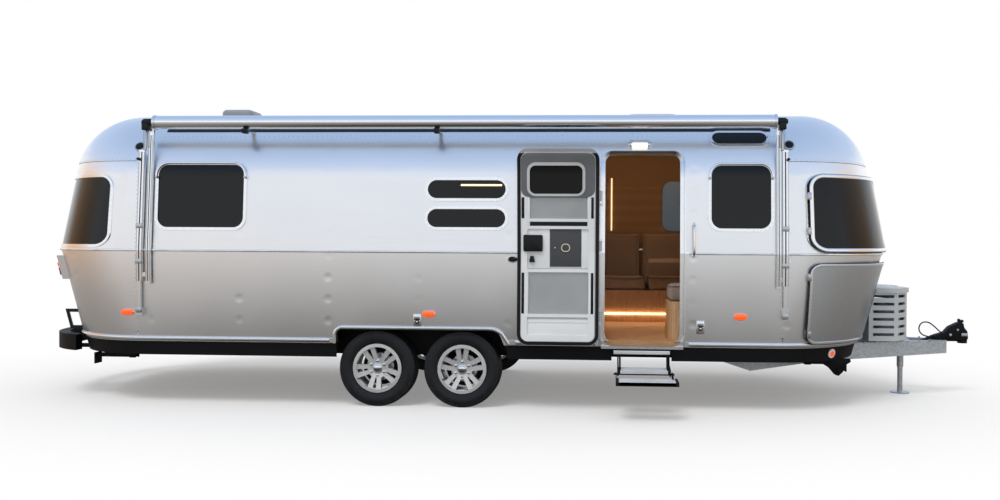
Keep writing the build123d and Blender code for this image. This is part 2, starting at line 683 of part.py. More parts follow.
# ================================================================ chassis
def chassis():
    rail_low = WALL_BOTTOM - RAIL_HEIGHT
    inner = RAIL_OUTER - RAIL_WIDTH
    frame = box(RAIL_REAR, RAIL_FRONT, -RAIL_OUTER, -inner, rail_low, WALL_BOTTOM)
    frame += box(RAIL_REAR, RAIL_FRONT, inner, RAIL_OUTER, rail_low, WALL_BOTTOM)
    for x in CROSS_MEMBERS:
        frame += box(x - CROSS_WIDTH / 2, x + CROSS_WIDTH / 2, -inner, inner,
                     WALL_BOTTOM - CROSS_HEIGHT, WALL_BOTTOM)
    for side in (-1, 1):
        frame = frame - drawbar_rail(side)
    save("chassis_frame", frame)


def drawbar_rail(sign, margin=0):
    outline = [(x, z - margin) for x, z in DRAWBAR_UNDERSIDE]
    outline += [(DRAWBAR_FRONT, DRAWBAR_TOP + margin), (DRAWBAR_REAR, DRAWBAR_TOP + margin)]
    side = Pos(0, -1500, 0) * extrude(side_face(outline), amount=3000, dir=(0, 1, 0))
    half = DRAWBAR_WIDTH / 2 + margin
    strip = plan_prism([
        (DRAWBAR_REAR, sign * (DRAWBAR_REAR_Y - half)), (DRAWBAR_FRONT, sign * (DRAWBAR_FRONT_Y - half)),
        (DRAWBAR_FRONT, sign * (DRAWBAR_FRONT_Y + half)), (DRAWBAR_REAR, sign * (DRAWBAR_REAR_Y + half)),
    ], 0, 1000)
    return side & strip


def drawbar():
    frame = drawbar_rail(-1) + drawbar_rail(1)
    head_half = DRAWBAR_FRONT_Y + DRAWBAR_WIDTH / 2
    frame += box(DRAWBAR_FRONT - 60, DRAWBAR_FRONT, -head_half, head_half, 414, DRAWBAR_TOP)
    # columns: x rear, x front, half width
    for x0, x1, half in ((-60, 60, 210), (LEVER_X - 30, LEVER_X + 30, 110)):
        frame += box(x0, x1, -half, half, DRAWBAR_TOP - 20, DRAWBAR_TOP)
    frame = frame - Cylinder(JACK_TUBE_RADIUS + JACK_FIT, 2000)
    save("drawbar", frame)


def tongue():
    half = COUPLER_WIDTH / 2
    neck = box(DRAWBAR_FRONT - 40, BALL_X, -half, half, DRAWBAR_TOP, COUPLER_TOP)
    head = Pos(BALL_X, 0, (COUPLER_TOP + COUPLER_BOTTOM) / 2) * Cylinder(
        COUPLER_NOSE - BALL_X, COUPLER_TOP - COUPLER_BOTTOM)
    bridge = box(DRAWBAR_FRONT + 1, BALL_X, -half, half, COUPLER_BOTTOM + 20, COUPLER_TOP)
    socket = Pos(BALL_X, 0, COUPLER_BOTTOM - 5) * Cylinder(
        BALL_RADIUS + 0.2, 50, align=(Align.CENTER, Align.CENTER, Align.MIN))
    save("coupling_head", neck + head + bridge - socket)
    grip = Pos(BALL_X - 100, 0, COUPLER_TOP) * Rot(0, -62, 0) * Pos(75, 0, 0)
    handle = grip * Box(190, 46, 22) & box(300, 800, -100, 100, COUPLER_TOP, 800)
    knob = Pos(BALL_X - 30, 0, COUPLER_TOP + 12) * Cylinder(20, 24)
    lever = box(LEVER_X - 15, LEVER_X + 15, -22, 22, DRAWBAR_TOP, DRAWBAR_TOP + 40)
    lever += Pos(LEVER_X, 0, DRAWBAR_TOP + 30) * Rot(0, -24, 0) * Pos(-110, 0, 0) * Box(240, 22, 26)
    save("coupling_levers", handle, knob, lever)
    length = JACK_TUBE_TOP - JACK_TUBE_LOW
    tube = Pos(0, 0, JACK_TUBE_LOW) * Cylinder(
        JACK_TUBE_RADIUS, length, align=(Align.CENTER, Align.CENTER, Align.MIN))
    tube += box(-52, 52, -60, 60, DRAWBAR_TOP, DRAWBAR_TOP + 16)
    tube = tube - Pos(0, 0, JACK_TUBE_LOW - 1) * Cylinder(
        JACK_LEG_RADIUS + JACK_FIT, length - 15, align=(Align.CENTER, Align.CENTER, Align.MIN))
    save("jack_tube", tube)
    leg = Pos(0, 0, JACK_FOOT_THICK) * Cylinder(
        JACK_LEG_RADIUS, JACK_TUBE_LOW + 150, align=(Align.CENTER, Align.CENTER, Align.MIN))
    leg += Pos(0, 0, JACK_FOOT_THICK / 2) * Cylinder(JACK_FOOT, JACK_FOOT_THICK)
    save("jack_leg", leg)


def locker_outline(margin):
    """Plan of the gas locker, with a niche for the jack in its front."""
    half, front_half = LOCKER_HALF + margin, LOCKER_FRONT_HALF + margin
    niche, back = LOCKER_NICHE_HALF - margin, LOCKER_NICHE_BACK + margin
    return [
        (LOCKER_REAR - margin, -half), (LOCKER_SHOULDER, -half), (LOCKER_FRONT + margin, -front_half),
        (LOCKER_FRONT + margin, -niche), (back, -niche), (back, niche), (LOCKER_FRONT + margin, niche),
        (LOCKER_FRONT + margin, front_half), (LOCKER_SHOULDER, half), (LOCKER_REAR - margin, half),
    ]


def gas_locker():
    clear = envelope(-LOCKER_CLEAR)
    shell = plan_prism(locker_outline(0), LOCKER_BOTTOM, LOCKER_TOP)
    shell -= plan_prism(locker_outline(-LOCKER_SHEET), LOCKER_BOTTOM + LOCKER_SHEET, LOCKER_TOP + 1)
    for k in range(SLOTS):
        z = SLOT_FIRST - k * SLOT_PITCH
        low, high = z - SLOT_HEIGHT / 2, z + SLOT_HEIGHT / 2
        shell -= box(LOCKER_REAR + 40, LOCKER_SHOULDER - 22, -600, 600, low, high)
        for sign in (-1, 1):
            y = sign * (LOCKER_HALF + LOCKER_FRONT_HALF) / 2
            corner = Pos((LOCKER_SHOULDER + LOCKER_FRONT) / 2, y, z)
            shell -= corner * Rot(0, 0, -45 * sign) * Box(150, 60, SLOT_HEIGHT)
    shell += box(
        LOCKER_REAR, LID_REAR - DOOR_GAP, -LOCKER_HALF, LOCKER_HALF, LOCKER_TOP - LOCKER_SHEET, LOCKER_TOP)
    shell -= clear
    for x in (LOCKER_REAR + 110, LOCKER_SHOULDER):
        along = (x - DRAWBAR_REAR) / (DRAWBAR_FRONT - DRAWBAR_REAR)
        for sign in (-1, 1):
            y = sign * (DRAWBAR_REAR_Y + along * (DRAWBAR_FRONT_Y - DRAWBAR_REAR_Y))
            shell += box(x - 20, x + 20, y - 20, y + 20, DRAWBAR_TOP, LOCKER_BOTTOM)
    save("gas_locker", shell)
    lid = plan_prism(locker_outline(LID_OVERHANG), LOCKER_TOP + DECK_GAP, LOCKER_TOP + LID_HEIGHT) - clear
    lid -= box(-1000, LID_REAR, -1000, 1000, 0, 2000)
    for sign in (-1, 1):
        y = sign * 170
        lid += bar_y(LOCKER_FRONT + LID_OVERHANG, LOCKER_TOP + 1, LID_BARREL, y - 50, y + 50)
    save("gas_locker_lid", lid)
    bottles = []
    for sign in (-1, 1):
        place = Pos(LOCKER_SHOULDER - 30, sign * 235, LOCKER_BOTTOM + LOCKER_SHEET)
        bottle = place * Cylinder(BOTTLE_RADIUS, BOTTLE_HEIGHT, align=(Align.CENTER, Align.CENTER, Align.MIN))
        bottles.append(fillet(bottle.edges().sort_by(Axis.Z)[-1], 60))
    save("gas_bottles", *bottles)


# ================================================================ steadies, step, bumper
def steadies():
    for name, x, y, direction in STEADIES:
        end = x + direction * STEADY_LENGTH
        x0, x1 = sorted((x, end))
        y0, y1 = y - STEADY_WIDTH / 2, y + STEADY_WIDTH / 2
        arm = box(x0, x1, y0, y1, STEADY_PIVOT_Z - 18, STEADY_PIVOT_Z + 18)
        arm += bar_y(x, STEADY_PIVOT_Z, 18, y0, y1)
        arm += box(end - 12, end, y - 55, y + 55, STEADY_PIVOT_Z - 80, STEADY_PIVOT_Z + 26)
        arm = arm - bar_y(x, STEADY_PIVOT_Z, 8 + RUNNING_FIT, y - 100, y + 100)
        save(f"steady_{name}", arm)


def steady_brackets():
    top = WALL_BOTTOM - RAIL_HEIGHT
    brackets = []
    for _, x, y, _ in STEADIES:
        bracket = bar_y(x, STEADY_PIVOT_Z, 8, y - 36, y + 36)
        high = top if abs(y) > RAIL_OUTER - RAIL_WIDTH else WALL_BOTTOM - CROSS_HEIGHT
        for sign in (-1, 1):
            inner, outer = sorted((y + sign * (STEADY_WIDTH / 2 + 5), y + sign * 36))
            bracket += box(x - 30, x + 30, inner, outer, STEADY_PIVOT_Z - 22, high)
        bracket += box(x - 30, x + 30, y - 36, y + 36, STEADY_PIVOT_Z + 24, high)
        brackets.append(bracket)
    save("steady_brackets", *brackets)


def entry_step():
    """Hangers with the upper tread, and the lower tread on its arms."""
    x0, x1, y0, y1 = UPPER_TREAD
    bar_rear, bar_front, bar_low, bar_high = STEP_BAR
    frame = box(bar_rear, bar_front, -HALF_WIDTH - 30, -HALF_WIDTH + 5, bar_low, bar_high)
    frame += box(x0, x1, y0, y1, UPPER_TREAD_TOP - TREAD, UPPER_TREAD_TOP)
    for x in (x0, x1 - STEP_ARM):
        hanger = Polyline(
            (0, STEP_HANGER_INNER, WALL_BOTTOM), (0, STEP_HANGER_INNER, bar_low),
            (0, y1, UPPER_TREAD_TOP - TREAD), (0, y0, UPPER_TREAD_TOP - TREAD - 14),
            (0, y0, UPPER_TREAD_TOP + 6), (0, y1, UPPER_TREAD_TOP + 30),
            (0, -HALF_WIDTH - 25, bar_high), (0, -HALF_WIDTH + 40, bar_high),
            (0, -HALF_WIDTH + 60, WALL_BOTTOM), close=True)
        frame += Pos(x, 0, 0) * extrude(make_face(hanger), amount=STEP_ARM, dir=(1, 0, 0))
    pivot_y, pivot_z = y0 + 16, UPPER_TREAD_TOP - TREAD + 4
    x2, x3, y2, y3 = LOWER_TREAD
    pin = Pos((x0 + x1) / 2, pivot_y, pivot_z) * Rot(0, 90, 0)
    frame += pin * Cylinder(STEP_PIN, x1 - x0 + 60)
    save("step_frame", frame)
    lower = box(x2, x3, y2, y3, LOWER_TREAD_TOP - TREAD, LOWER_TREAD_TOP)
    for x, plate in ((x2, x0 - 6 - x2), (x1 + 6, x3 - x1 - 6)):
        arm = Polyline(
            (0, pivot_y + 18, pivot_z + 14), (0, pivot_y + 18, pivot_z - 16),
            (0, y3 - 40, LOWER_TREAD_TOP - TREAD), (0, y3 - 90, LOWER_TREAD_TOP),
            (0, pivot_y - 18, pivot_z + 16), close=True)
        width = min(STEP_ARM, plate)
        start = x0 - 6 - width if x == x2 else x
        lower += Pos(start, 0, 0) * extrude(make_face(arm), amount=width, dir=(1, 0, 0))
    lower -= pin * Cylinder(STEP_PIN + RUNNING_FIT, x1 - x0 + 200)
    save("step_lower", lower)


def bumper_outline(z, inset):
    return plan_outline(z, BUMPER_HALF - inset, BODY_NOSE, BUMPER_REAR + inset,
                        BUMPER_CORNER - inset, BUMPER_END_RADIUS - inset)


def rear_bumper():
    low = BUMPER_TOP - BUMPER_HEIGHT
    beam = Solid.make_loft([bumper_outline(z, 0) for z in (low, BUMPER_TOP)], ruled=True)
    beam -= Solid.make_loft([bumper_outline(z, BUMPER_THICK) for z in (0, 900)], ruled=True)
    beam = beam & box(-9000, BUMPER_FRONT, -2000, 2000, 0, 1000)
    for sign in (-1, 1):
        y0, y1 = sorted((sign * 400, sign * 480))
        beam += box(BUMPER_REAR + 60, RAIL_REAR + 70, y0, y1, low - 30, SKIRT_BOTTOM - 6)
        beam += box(RAIL_REAR + 10, RAIL_REAR + 70, y0, y1, low - 30, WALL_BOTTOM - CROSS_HEIGHT)
    save("rear_bumper", beam)


def rear_fittings():
    """Tail lamp housings and lifting handles on the rear corners."""
    pieces = []
    for sign in (-1, 1):
        y0, y1 = sorted(sign * y for y in TAIL_LAMP_Y)
        pieces.append(skin(slab(*TAIL_LAMP, BODY_TAIL - 100, BODY_MIDDLE, y0, y1), -TAIL_LAMP_OUT, 0))
        y0, y1 = sorted(sign * y for y in TAIL_HANDLE_Y)
        loop = skin(slab(*TAIL_HANDLE, BODY_TAIL - 300, BODY_MIDDLE, y0, y1), -TAIL_HANDLE_OUT, 0)
        low, high = TAIL_HANDLE
        hole = skin(slab(low + 30, high - 30, BODY_TAIL - 300, BODY_MIDDLE, y0 - 5, y1 + 5),
                    -TAIL_HANDLE_OUT + 28, 0)
        pieces.append(loop - hole)
    save("rear_fittings", *pieces)


# ================================================================ outside fittings
def wall_bar(x, width, low, high, standoff, thick):
    """An upright along x that follows the leaning right wall outside the skin."""
    def skin_y(z):
        return -HALF_WIDTH + lean(z)[0] - standoff
    heights = [low] + ([BELT] if low < BELT < high else []) + [high]
    outline = [(0, skin_y(z), z) for z in heights] + [(0, skin_y(z) - thick, z) for z in reversed(heights)]
    bar = extrude(make_face(Polyline(*outline, close=True)), amount=width, dir=(1, 0, 0))
    return Pos(x - width / 2, 0, 0) * bar


def awning():
    tube = Pos((AWNING_REAR + AWNING_FRONT) / 2, -AWNING_Y, AWNING_Z) * Rot(0, 90, 0)
    roller = tube * Cylinder(AWNING_RADIUS, AWNING_FRONT - AWNING_REAR)
    save("awning_roller", roller)
    pieces = []
    for outer, inner, foot in AWNING_ARMS:
        channel = wall_bar(outer, CHANNEL_WIDTH, ARM_LOW, CHANNEL_TOP, ARM_STANDOFF, ARM_THICK)
        channel += wall_bar(outer, FOOT_WIDTH, foot, ARM_LOW + 20, ARM_STANDOFF, ARM_THICK)
        channel += wall_bar(outer, CHANNEL_WIDTH, foot - 20, foot + 45, 0, ARM_STANDOFF + ARM_THICK)
        link = box(min(outer, inner), max(outer, inner), -HALF_WIDTH - ARM_STANDOFF - 10,
                   -HALF_WIDTH - ARM_STANDOFF - 4, ARM_LOW + 40, ARM_LOW + 80)
        arm = wall_bar(inner, ARM_WIDTH, ARM_LOW - 20, AWNING_Z, ARM_STANDOFF, ARM_THICK)
        end = AWNING_FRONT if inner > BODY_MIDDLE else AWNING_REAR
        toward = 1 if inner > BODY_MIDDLE else -1
        middle = end + toward * (AWNING_CAP / 2 + CAP_GAP)
        cap = Pos(middle, -AWNING_Y, AWNING_Z) * Rot(0, 90, 0) * Cylinder(AWNING_RADIUS + 6, AWNING_CAP)
        pieces.append(channel + link + arm + cap)
    for x in AWNING_CRADLES:
        top = AWNING_Z - AWNING_RADIUS - CRADLE_GAP
        cradle = box(x - CRADLE_HALF, x + CRADLE_HALF, -AWNING_Y - 30, -800, top - CRADLE_DEPTH,
                     top) - envelope(0)
        pieces.append(cradle)
    save("awning_arms", *pieces)


def roof_vents():
    curbs = []
    for name, x, half, rise, edge in ROOF_VENTS:
        top = CREST + VENT_BASE
        curb = box(x - half, x + half, -half, half, CREST - 80, top) - envelope(0)
        curb -= box(x - half + VENT_CURB, x + half - VENT_CURB, -half + VENT_CURB, half - VENT_CURB,
                    CREST - 200, CREST + 300)
        curbs.append(curb)
        low, high = top + VENT_GAP, CREST + rise
        lid = box(x - half + 4, x + half - 4, -half + 4, half - 4, low, high)
        lid = fillet(lid.edges().filter_by(Axis.Z), half / 3)
        lid = fillet(lid.edges().group_by(Axis.Z)[-1], min(edge, high - low - 2))
        hinge = x - half - VENT_BARREL_OUT
        lid += bar_y(hinge, low + VENT_BARREL, VENT_BARREL, -half / 2, half / 2)
        lid += box(hinge, x - half + 12, -half / 2, half / 2, low, low + VENT_BARREL)
        save(f"{name}_lid", lid)
    save("roof_vent_curbs", *curbs)


# ================================================================ interior
def seat_end(y0, y1, z0, z1):
    """The right seat, its free end rounded in plan."""
    seat = box(SEAT_END, LOUNGE_FRONT, y0, y1, z0, z1)
    return fillet(seat.edges().filter_by(Axis.Z).group_by(Axis.X)[0], SEAT_END_RADIUS)


def lounge():
    inside = envelope(WALL + DECK_GAP)
    base = box(LOUNGE_REAR, LOUNGE_FRONT, LOUNGE_INNER, HALF_WIDTH, FLOOR_TOP, SEAT_BASE_TOP)
    base += box(RIGHT_SEAT_REAR, LOUNGE_FRONT, -HALF_WIDTH, -LOUNGE_INNER, FLOOR_TOP, SEAT_BASE_TOP)
    base += seat_end(SEAT_END_SIDE, -LOUNGE_INNER, FLOOR_TOP, SEAT_BASE_TOP)
    save("lounge_base", base & inside)
    top = SEAT_BASE_TOP + SEAT_CUSHION
    low = SEAT_BASE_TOP + DECK_GAP
    rounded = seat_end(-1060, -LOUNGE_INNER + 20, low, top)
    levels = rounded.faces().sort_by(Axis.Z)
    rounded = fillet(levels[-1].edges() + levels[0].edges(), 30)
    seats = [
        box(LOUNGE_REAR + 10, -2520, LOUNGE_INNER - 20, 1060, low, top),
        box(-2510, LOUNGE_FRONT, LOUNGE_INNER - 20, 1060, low, top),
    ]
    save("lounge_seats", *[fillet(seat.edges(), 30) for seat in seats], rounded)
    backs = [
        box(LOUNGE_REAR + 10, -2570, 1060.3, 1060.3 + 110, SEAT_BASE_TOP + 20, BACK_TOP),
        box(-2560, LOUNGE_FRONT, 1060.3, 1060.3 + 110, SEAT_BASE_TOP + 20, BACK_TOP),
    ]
    save("lounge_backs", *[fillet(back.edges(), 30) for back in backs])
    leg = Pos(-2015, 0, FLOOR_TOP) * Cylinder(
        45, TABLE_TOP - TABLE_THICK - FLOOR_TOP, align=(Align.CENTER, Align.CENTER, Align.MIN))
    foot = Pos(-2015, 0, FLOOR_TOP + 6) * Cylinder(170, 12)
    save("table", box(-2530, -1500, -300, 300, TABLE_TOP - TABLE_THICK, TABLE_TOP) + leg + foot)


def cabinets():
    inside = envelope(WALL + DECK_GAP)
    galley = box(GALLEY[0], GALLEY[1], -HALF_WIDTH, -LOUNGE_INNER, FLOOR_TOP, GALLEY_TOP)
    galley -= wheel_box_block(-1)
    tall = box(TALL_UNIT[0], TALL_UNIT[1], LOUNGE_INNER, HALF_WIDTH, FLOOR_TOP, TALL_UNIT_TOP)
    tall -= wheel_box_block(1)
    save("cabinets", galley & inside, tall & inside)
    panels = []
    for sign in (-1, 1):
        y0, y1 = sorted((sign * 300, sign * HALF_WIDTH))
        panels.append(box(PARTITION_X, PARTITION_X + PANEL, y0, y1, FLOOR_TOP, CREST) & inside)
    save("partitions", *panels)
    base = box(BED_REAR, BED_FRONT, -BED_INNER, BED_INNER, FLOOR_TOP, BED_TOP - MATTRESS)
    save("bed_base", base)
    mattress = box(BED_REAR, BED_FRONT, -BED_INNER, BED_INNER, BED_TOP - MATTRESS + DECK_GAP, BED_TOP)
    save("mattress", fillet(mattress.edges(), 40))


os.makedirs("parts", exist_ok=True)
body_panels()
floor_deck()
wheel_boxes()
windows()
body_trim()
skirt()
front_guards()
entry_door()
door_frame()
wheels()
axles()
chassis()
drawbar()
tongue()
gas_locker()
steadies()
steady_brackets()
entry_step()
rear_bumper()
rear_fittings()
awning()
roof_vents()
lounge()
cabinets()
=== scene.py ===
import json
import math

import bmesh
import bpy
from mathutils import Matrix, Vector
from mathutils.bvhtree import BVHTree


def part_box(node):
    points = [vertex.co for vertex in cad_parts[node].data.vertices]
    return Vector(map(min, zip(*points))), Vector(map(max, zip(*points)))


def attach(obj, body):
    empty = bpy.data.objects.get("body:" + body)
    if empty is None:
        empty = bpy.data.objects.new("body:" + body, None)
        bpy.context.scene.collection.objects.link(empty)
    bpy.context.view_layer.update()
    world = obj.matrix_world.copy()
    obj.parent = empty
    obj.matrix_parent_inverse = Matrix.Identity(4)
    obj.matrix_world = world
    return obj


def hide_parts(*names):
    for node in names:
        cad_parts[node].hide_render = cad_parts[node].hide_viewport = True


# Travel caravan in riveted aluminium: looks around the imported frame. Metres, x forward,
# y to the left, z up. The door side is -y.

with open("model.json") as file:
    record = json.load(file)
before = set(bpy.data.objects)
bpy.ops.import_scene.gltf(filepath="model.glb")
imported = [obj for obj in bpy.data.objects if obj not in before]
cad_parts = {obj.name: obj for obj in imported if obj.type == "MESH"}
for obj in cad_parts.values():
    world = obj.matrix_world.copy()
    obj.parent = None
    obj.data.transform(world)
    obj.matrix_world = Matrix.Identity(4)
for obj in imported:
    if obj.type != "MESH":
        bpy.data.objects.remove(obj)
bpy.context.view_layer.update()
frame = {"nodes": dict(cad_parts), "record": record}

# ------------------------------------------------------------------ places
WALL_Y = 1.25                           # how far out the side walls stand at the belt
BELT, RAIL = 1.4, 0.601                 # heights of the two long mouldings
LEAN = math.tan(math.radians(3.75))     # the walls lean in above the belt
TUCK = 0.014 / 0.825                    # and tuck under below it
FRONT_SEAM, REAR_SEAM, END_SEAM = -1.4, -7.2, 2.225
SHELL = ("side_wall_right", "side_wall_left", "front_wall", "rear_wall",
         "front_dome", "rear_dome", "roof_panel")

# ------------------------------------------------------------------ camera
VIEW_FOCUS = 890            # focal length in pixels of a picture 1000 wide
VIEW_YAW, VIEW_PITCH, VIEW_ROLL = 3.2, 0.77, 0.33
VIEW_SHIFT = -0.065


def make_camera():
    bpy.ops.object.camera_add(location=(-2.865, -9.09, 1.53))
    camera = bpy.context.object
    camera.name = "studio_camera"
    camera.data.sensor_width = 36
    camera.data.lens = VIEW_FOCUS * 36 / 1000
    camera.data.shift_x = VIEW_SHIFT
    turn = (Matrix.Rotation(math.radians(VIEW_YAW), 4, "Z")
            @ Matrix.Rotation(math.radians(90 - VIEW_PITCH), 4, "X")
            @ Matrix.Rotation(math.radians(VIEW_ROLL), 4, "Z"))
    camera.matrix_world = Matrix.Translation(camera.location) @ turn
    bpy.context.scene.camera = camera


# ------------------------------------------------------------------ nodes and colours
def tone(code):
    """sRGB hex to linear."""
    parts = [int(code[k:k + 2], 16) / 255 for k in (1, 3, 5)]
    return tuple(c / 12.92 if c <= 0.04045 else ((c + 0.055) / 1.055) ** 2.4
                 for c in parts) + (1.0,)


class Nodes:
    """A node tree, the coordinates it works in and short ways to fill it."""

    def __init__(self, tree, coordinates):
        self.tree = tree
        self.place = self.add("TexCoord").outputs[coordinates]

    def add(self, kind, inputs=None, **settings):
        """A node with its settings, its values and its links."""
        new = self.tree.nodes.new("ShaderNode" + kind)
        for key, value in settings.items():
            setattr(new, key, value)
        for key, value in (inputs or {}).items():
            if isinstance(value, bpy.types.NodeSocket):
                self.tree.links.new(value, new.inputs[key])
            else:
                new.inputs[key].default_value = value
        return new

    def maths(self, operation, *values):
        return self.add("Math", dict(enumerate(values)), operation=operation).outputs[0]

    def axis(self, letter):
        return self.add("SeparateXYZ", {0: self.place}).outputs[letter]

    def grain(self, scale, detail=4.0, stretch=(1, 1, 1), **more):
        """Noise at so many cells a metre, stretched along an axis where its number is small."""
        mapped = self.add("Mapping", {"Vector": self.place, "Scale": stretch}).outputs[0]
        return self.add("TexNoise", {"Vector": mapped, "Scale": scale, "Detail": detail,
                                     **more}).outputs["Fac"]

    def spread(self, value, low, high, from_low=0.3, from_high=0.7, kind="LINEAR"):
        """A value carried over to another range."""
        return self.add("MapRange", {"Value": value, "From Min": from_low, "From Max": from_high,
                        "To Min": low, "To Max": high}, interpolation_type=kind).outputs[0]

    def between(self, factor, first, second):
        """A colour between two, each an sRGB tone or another node's output."""
        colours = [tone(c) if isinstance(c, str) else c for c in (first, second)]
        return self.add("Mix", {0: factor, 6: colours[0], 7: colours[1]},
                        data_type="RGBA").outputs[2]

    def either(self, factor, first, second):
        """One shader or another."""
        return self.add("MixShader", {0: factor, 1: first, 2: second}).outputs[0]

    def light(self, colour, strength, kind="Emission"):
        return self.add(kind, {"Color": colour, "Strength": strength}).outputs[0]


class Finish(Nodes):
    """A material with its shader and its node tree in object coordinates."""

    def __init__(self, name, colour, roughness, **sockets):
        self.material = bpy.data.materials.new(name)
        self.material.use_nodes = True
        super().__init__(self.material.node_tree, "Object")
        self.shader = self.tree.nodes["Principled BSDF"]
        self.set(Base_Color=tone(colour), Roughness=roughness, **sockets)

    def set(self, **sockets):
        for key, value in sockets.items():
            self.shader.inputs[key.replace("_", " ")].default_value = value

    def drive(self, colour, roughness=None):
        """Links a colour and a roughness to the shader."""
        self.tree.links.new(colour, self.shader.inputs["Base Color"])
        if roughness is not None:
            self.tree.links.new(roughness, self.shader.inputs["Roughness"])

    def emboss(self, height, depth):
        """A bump in metres; a second one is laid over the first."""
        before = self.shader.inputs["Normal"].links
        inputs = {"Height": height, "Distance": depth, "Strength": 1.0}
        if before:
            inputs["Normal"] = before[0].from_socket
        self.tree.links.new(self.add("Bump", inputs).outputs[0], self.shader.inputs["Normal"])


# ------------------------------------------------------------------ materials
# rows of dents where the ribs are fixed: one spot, and the steps to the next along x and up
DENT, DENT_STEP, DENT_RADIUS, DENT_DEPTH = (-5.43, 0.972), (0.814, 0.195), 0.055, 0.0016


def rolled_aluminium():
    """Clear-coated aluminium sheet: a satin mirror with rolling grain along its length,
    slow waves between its ribs, a bulge below the belt and shallow dents at the ribs."""
    made = Finish("rolled_aluminium_sheet", "#E9EAEA", 0.30, Metallic=1.0)
    streaks, blotches = made.grain(26.0, 3.0, (0.05, 4.0, 9.0)), made.grain(1.6, 2.0)
    made.drive(made.between(blotches, "#E6E7E7", "#F1F1F1"),
               made.spread(made.maths("ADD", streaks, blotches), 0.31, 0.37, 0.7, 1.3))
    made.emboss(made.grain(0.9, 0.0), 0.0005)
    below = made.maths("MINIMUM", made.maths("SUBTRACT", made.axis("Z"), BELT), 0.0)
    made.emboss(made.maths("MULTIPLY", below, below), -0.050)
    across, up = [made.maths("WRAP", made.axis(letter), middle - step / 2, middle + step / 2)
                  for letter, middle, step in zip("XZ", DENT, DENT_STEP)]
    spot = made.add("CombineXYZ", {"X": across, "Y": up}).outputs[0]
    away = made.add("VectorMath", {0: spot, 1: (*DENT, 0.0)},
                    operation="DISTANCE").outputs["Value"]
    dent = made.spread(away, 1.0, 0.0, 0.0, DENT_RADIUS, "SMOOTHERSTEP")
    depth = made.spread(made.grain(2.3, 0.0), 0.0, 1.0, 0.42, 0.6)
    made.emboss(made.maths("MULTIPLY", dent, depth), -DENT_DEPTH)
    return made.material


def plain_metal(name, colour, roughness, wear=0.06, scale=40.0, stretch=(1, 1, 1)):
    """A metal with fine scratches and slightly uneven gloss."""
    made = Finish(name, colour, roughness, Metallic=1.0)
    marks = made.grain(scale, 5.0, stretch)
    made.tree.links.new(made.spread(marks, roughness - wear, roughness + wear),
                        made.shader.inputs["Roughness"])
    made.emboss(marks, 0.00006)
    return made.material


def moulded(name, colour, other, roughness, scale=700.0, depth=0.00012, **sockets):
    """A moulded or painted surface: fine texture and cloudy tone."""
    made = Finish(name, colour, roughness, **sockets)
    clouds = made.grain(3.0, 6.0)
    made.drive(made.between(made.spread(clouds, 0.0, 1.0), colour, other),
               made.spread(clouds, roughness - 0.05, roughness + 0.07))
    made.emboss(made.grain(scale, 2.0), depth)
    return made.material


def tinted_glass():
    """Toughened glass in a deep smoke tint, with a hard clear gloss."""
    made = Finish("smoked_safety_glass", "#07090C", 0.04, IOR=1.5, Specular_IOR_Level=0.27)
    made.emboss(made.grain(1.2, 0.0), 0.0003)
    return made.material


def zinc_coat():
    """Hot-dip galvanised steel: frost-like crystals of zinc a couple of centimetres across."""
    made = Finish("hot_dip_zinc", "#B3B9BD", 0.45, Metallic=0.85)
    cells = made.add("TexVoronoi", {"Vector": made.place, "Scale": 70.0}).outputs["Color"]
    grey = made.add("SeparateColor", {0: cells}).outputs[0]
    clouds = made.grain(5.0, 5.0)
    both = made.spread(made.maths("ADD", grey, clouds), 0.0, 1.0, 0.3, 1.3)
    made.drive(made.between(both, "#AAB1B6", "#C9CFD3"),
               made.spread(grey, 0.40, 0.50, 0.0, 1.0))
    made.emboss(clouds, 0.0002)
    return made.material


def wood(name, light, dark, along, plank=0.0):
    """Oak: long growth lines every few millimetres, small pores, and joints between boards."""
    made = Finish(name, light, 0.42)
    stretch = [0.6 if letter == along else 14.0 for letter in "XYZ"]
    lines = made.grain(9.0, 8.0, stretch, Distortion=0.6)
    pores = made.grain(60.0, 2.0, stretch)
    both = made.spread(made.maths("MULTIPLY", lines, pores), 0.0, 1.0, 0.12, 0.4)
    made.drive(made.between(both, dark, light), made.spread(lines, 0.36, 0.5))
    made.emboss(pores, 0.0003)
    if plank:
        wrapped = made.maths("PINGPONG", made.axis("Y"), plank)
        made.emboss(made.spread(wrapped, 0.0, 1.0, 0.0, 0.003), 0.0015)
    return made.material


def weave(name, warp, weft, thread=0.0022, roughness=0.9):
    """Plain woven cloth: warp and weft threads over and under each other, with slubs."""
    made = Finish(name, warp, roughness, Sheen_Weight=0.35, Sheen_Roughness=0.5)
    mixed = made.grain(90.0, 4.0)
    for letter in "XYZ":
        turns = made.maths("MULTIPLY", made.axis(letter), math.pi / thread)
        mixed = made.maths("ADD", mixed, made.maths("SINE", turns))
    made.drive(made.between(made.spread(mixed, 0.0, 1.0, -1.0, 2.4), warp, weft))
    made.emboss(mixed, 0.0004)
    return made.material


def road_rubber():
    """Tyre rubber: charcoal, dull, with dust held in its fine texture."""
    made = Finish("tyre_rubber", "#121314", 0.60)
    dust = made.grain(16.0, 8.0)
    made.drive(made.between(made.spread(dust, 0.0, 1.0), "#0B0C0D", "#1D1E20"),
               made.spread(dust, 0.5, 0.75))
    made.emboss(made.grain(420.0, 3.0), 0.0003)
    return made.material


def glow(name, colour, strength):
    """A lit lens: light-emitting diodes behind milky plastic; also a pane that glows as painted
    daylight.
    """
    return Finish(name, colour, 0.4, Emission_Color=tone(colour),
                  Emission_Strength=strength).material


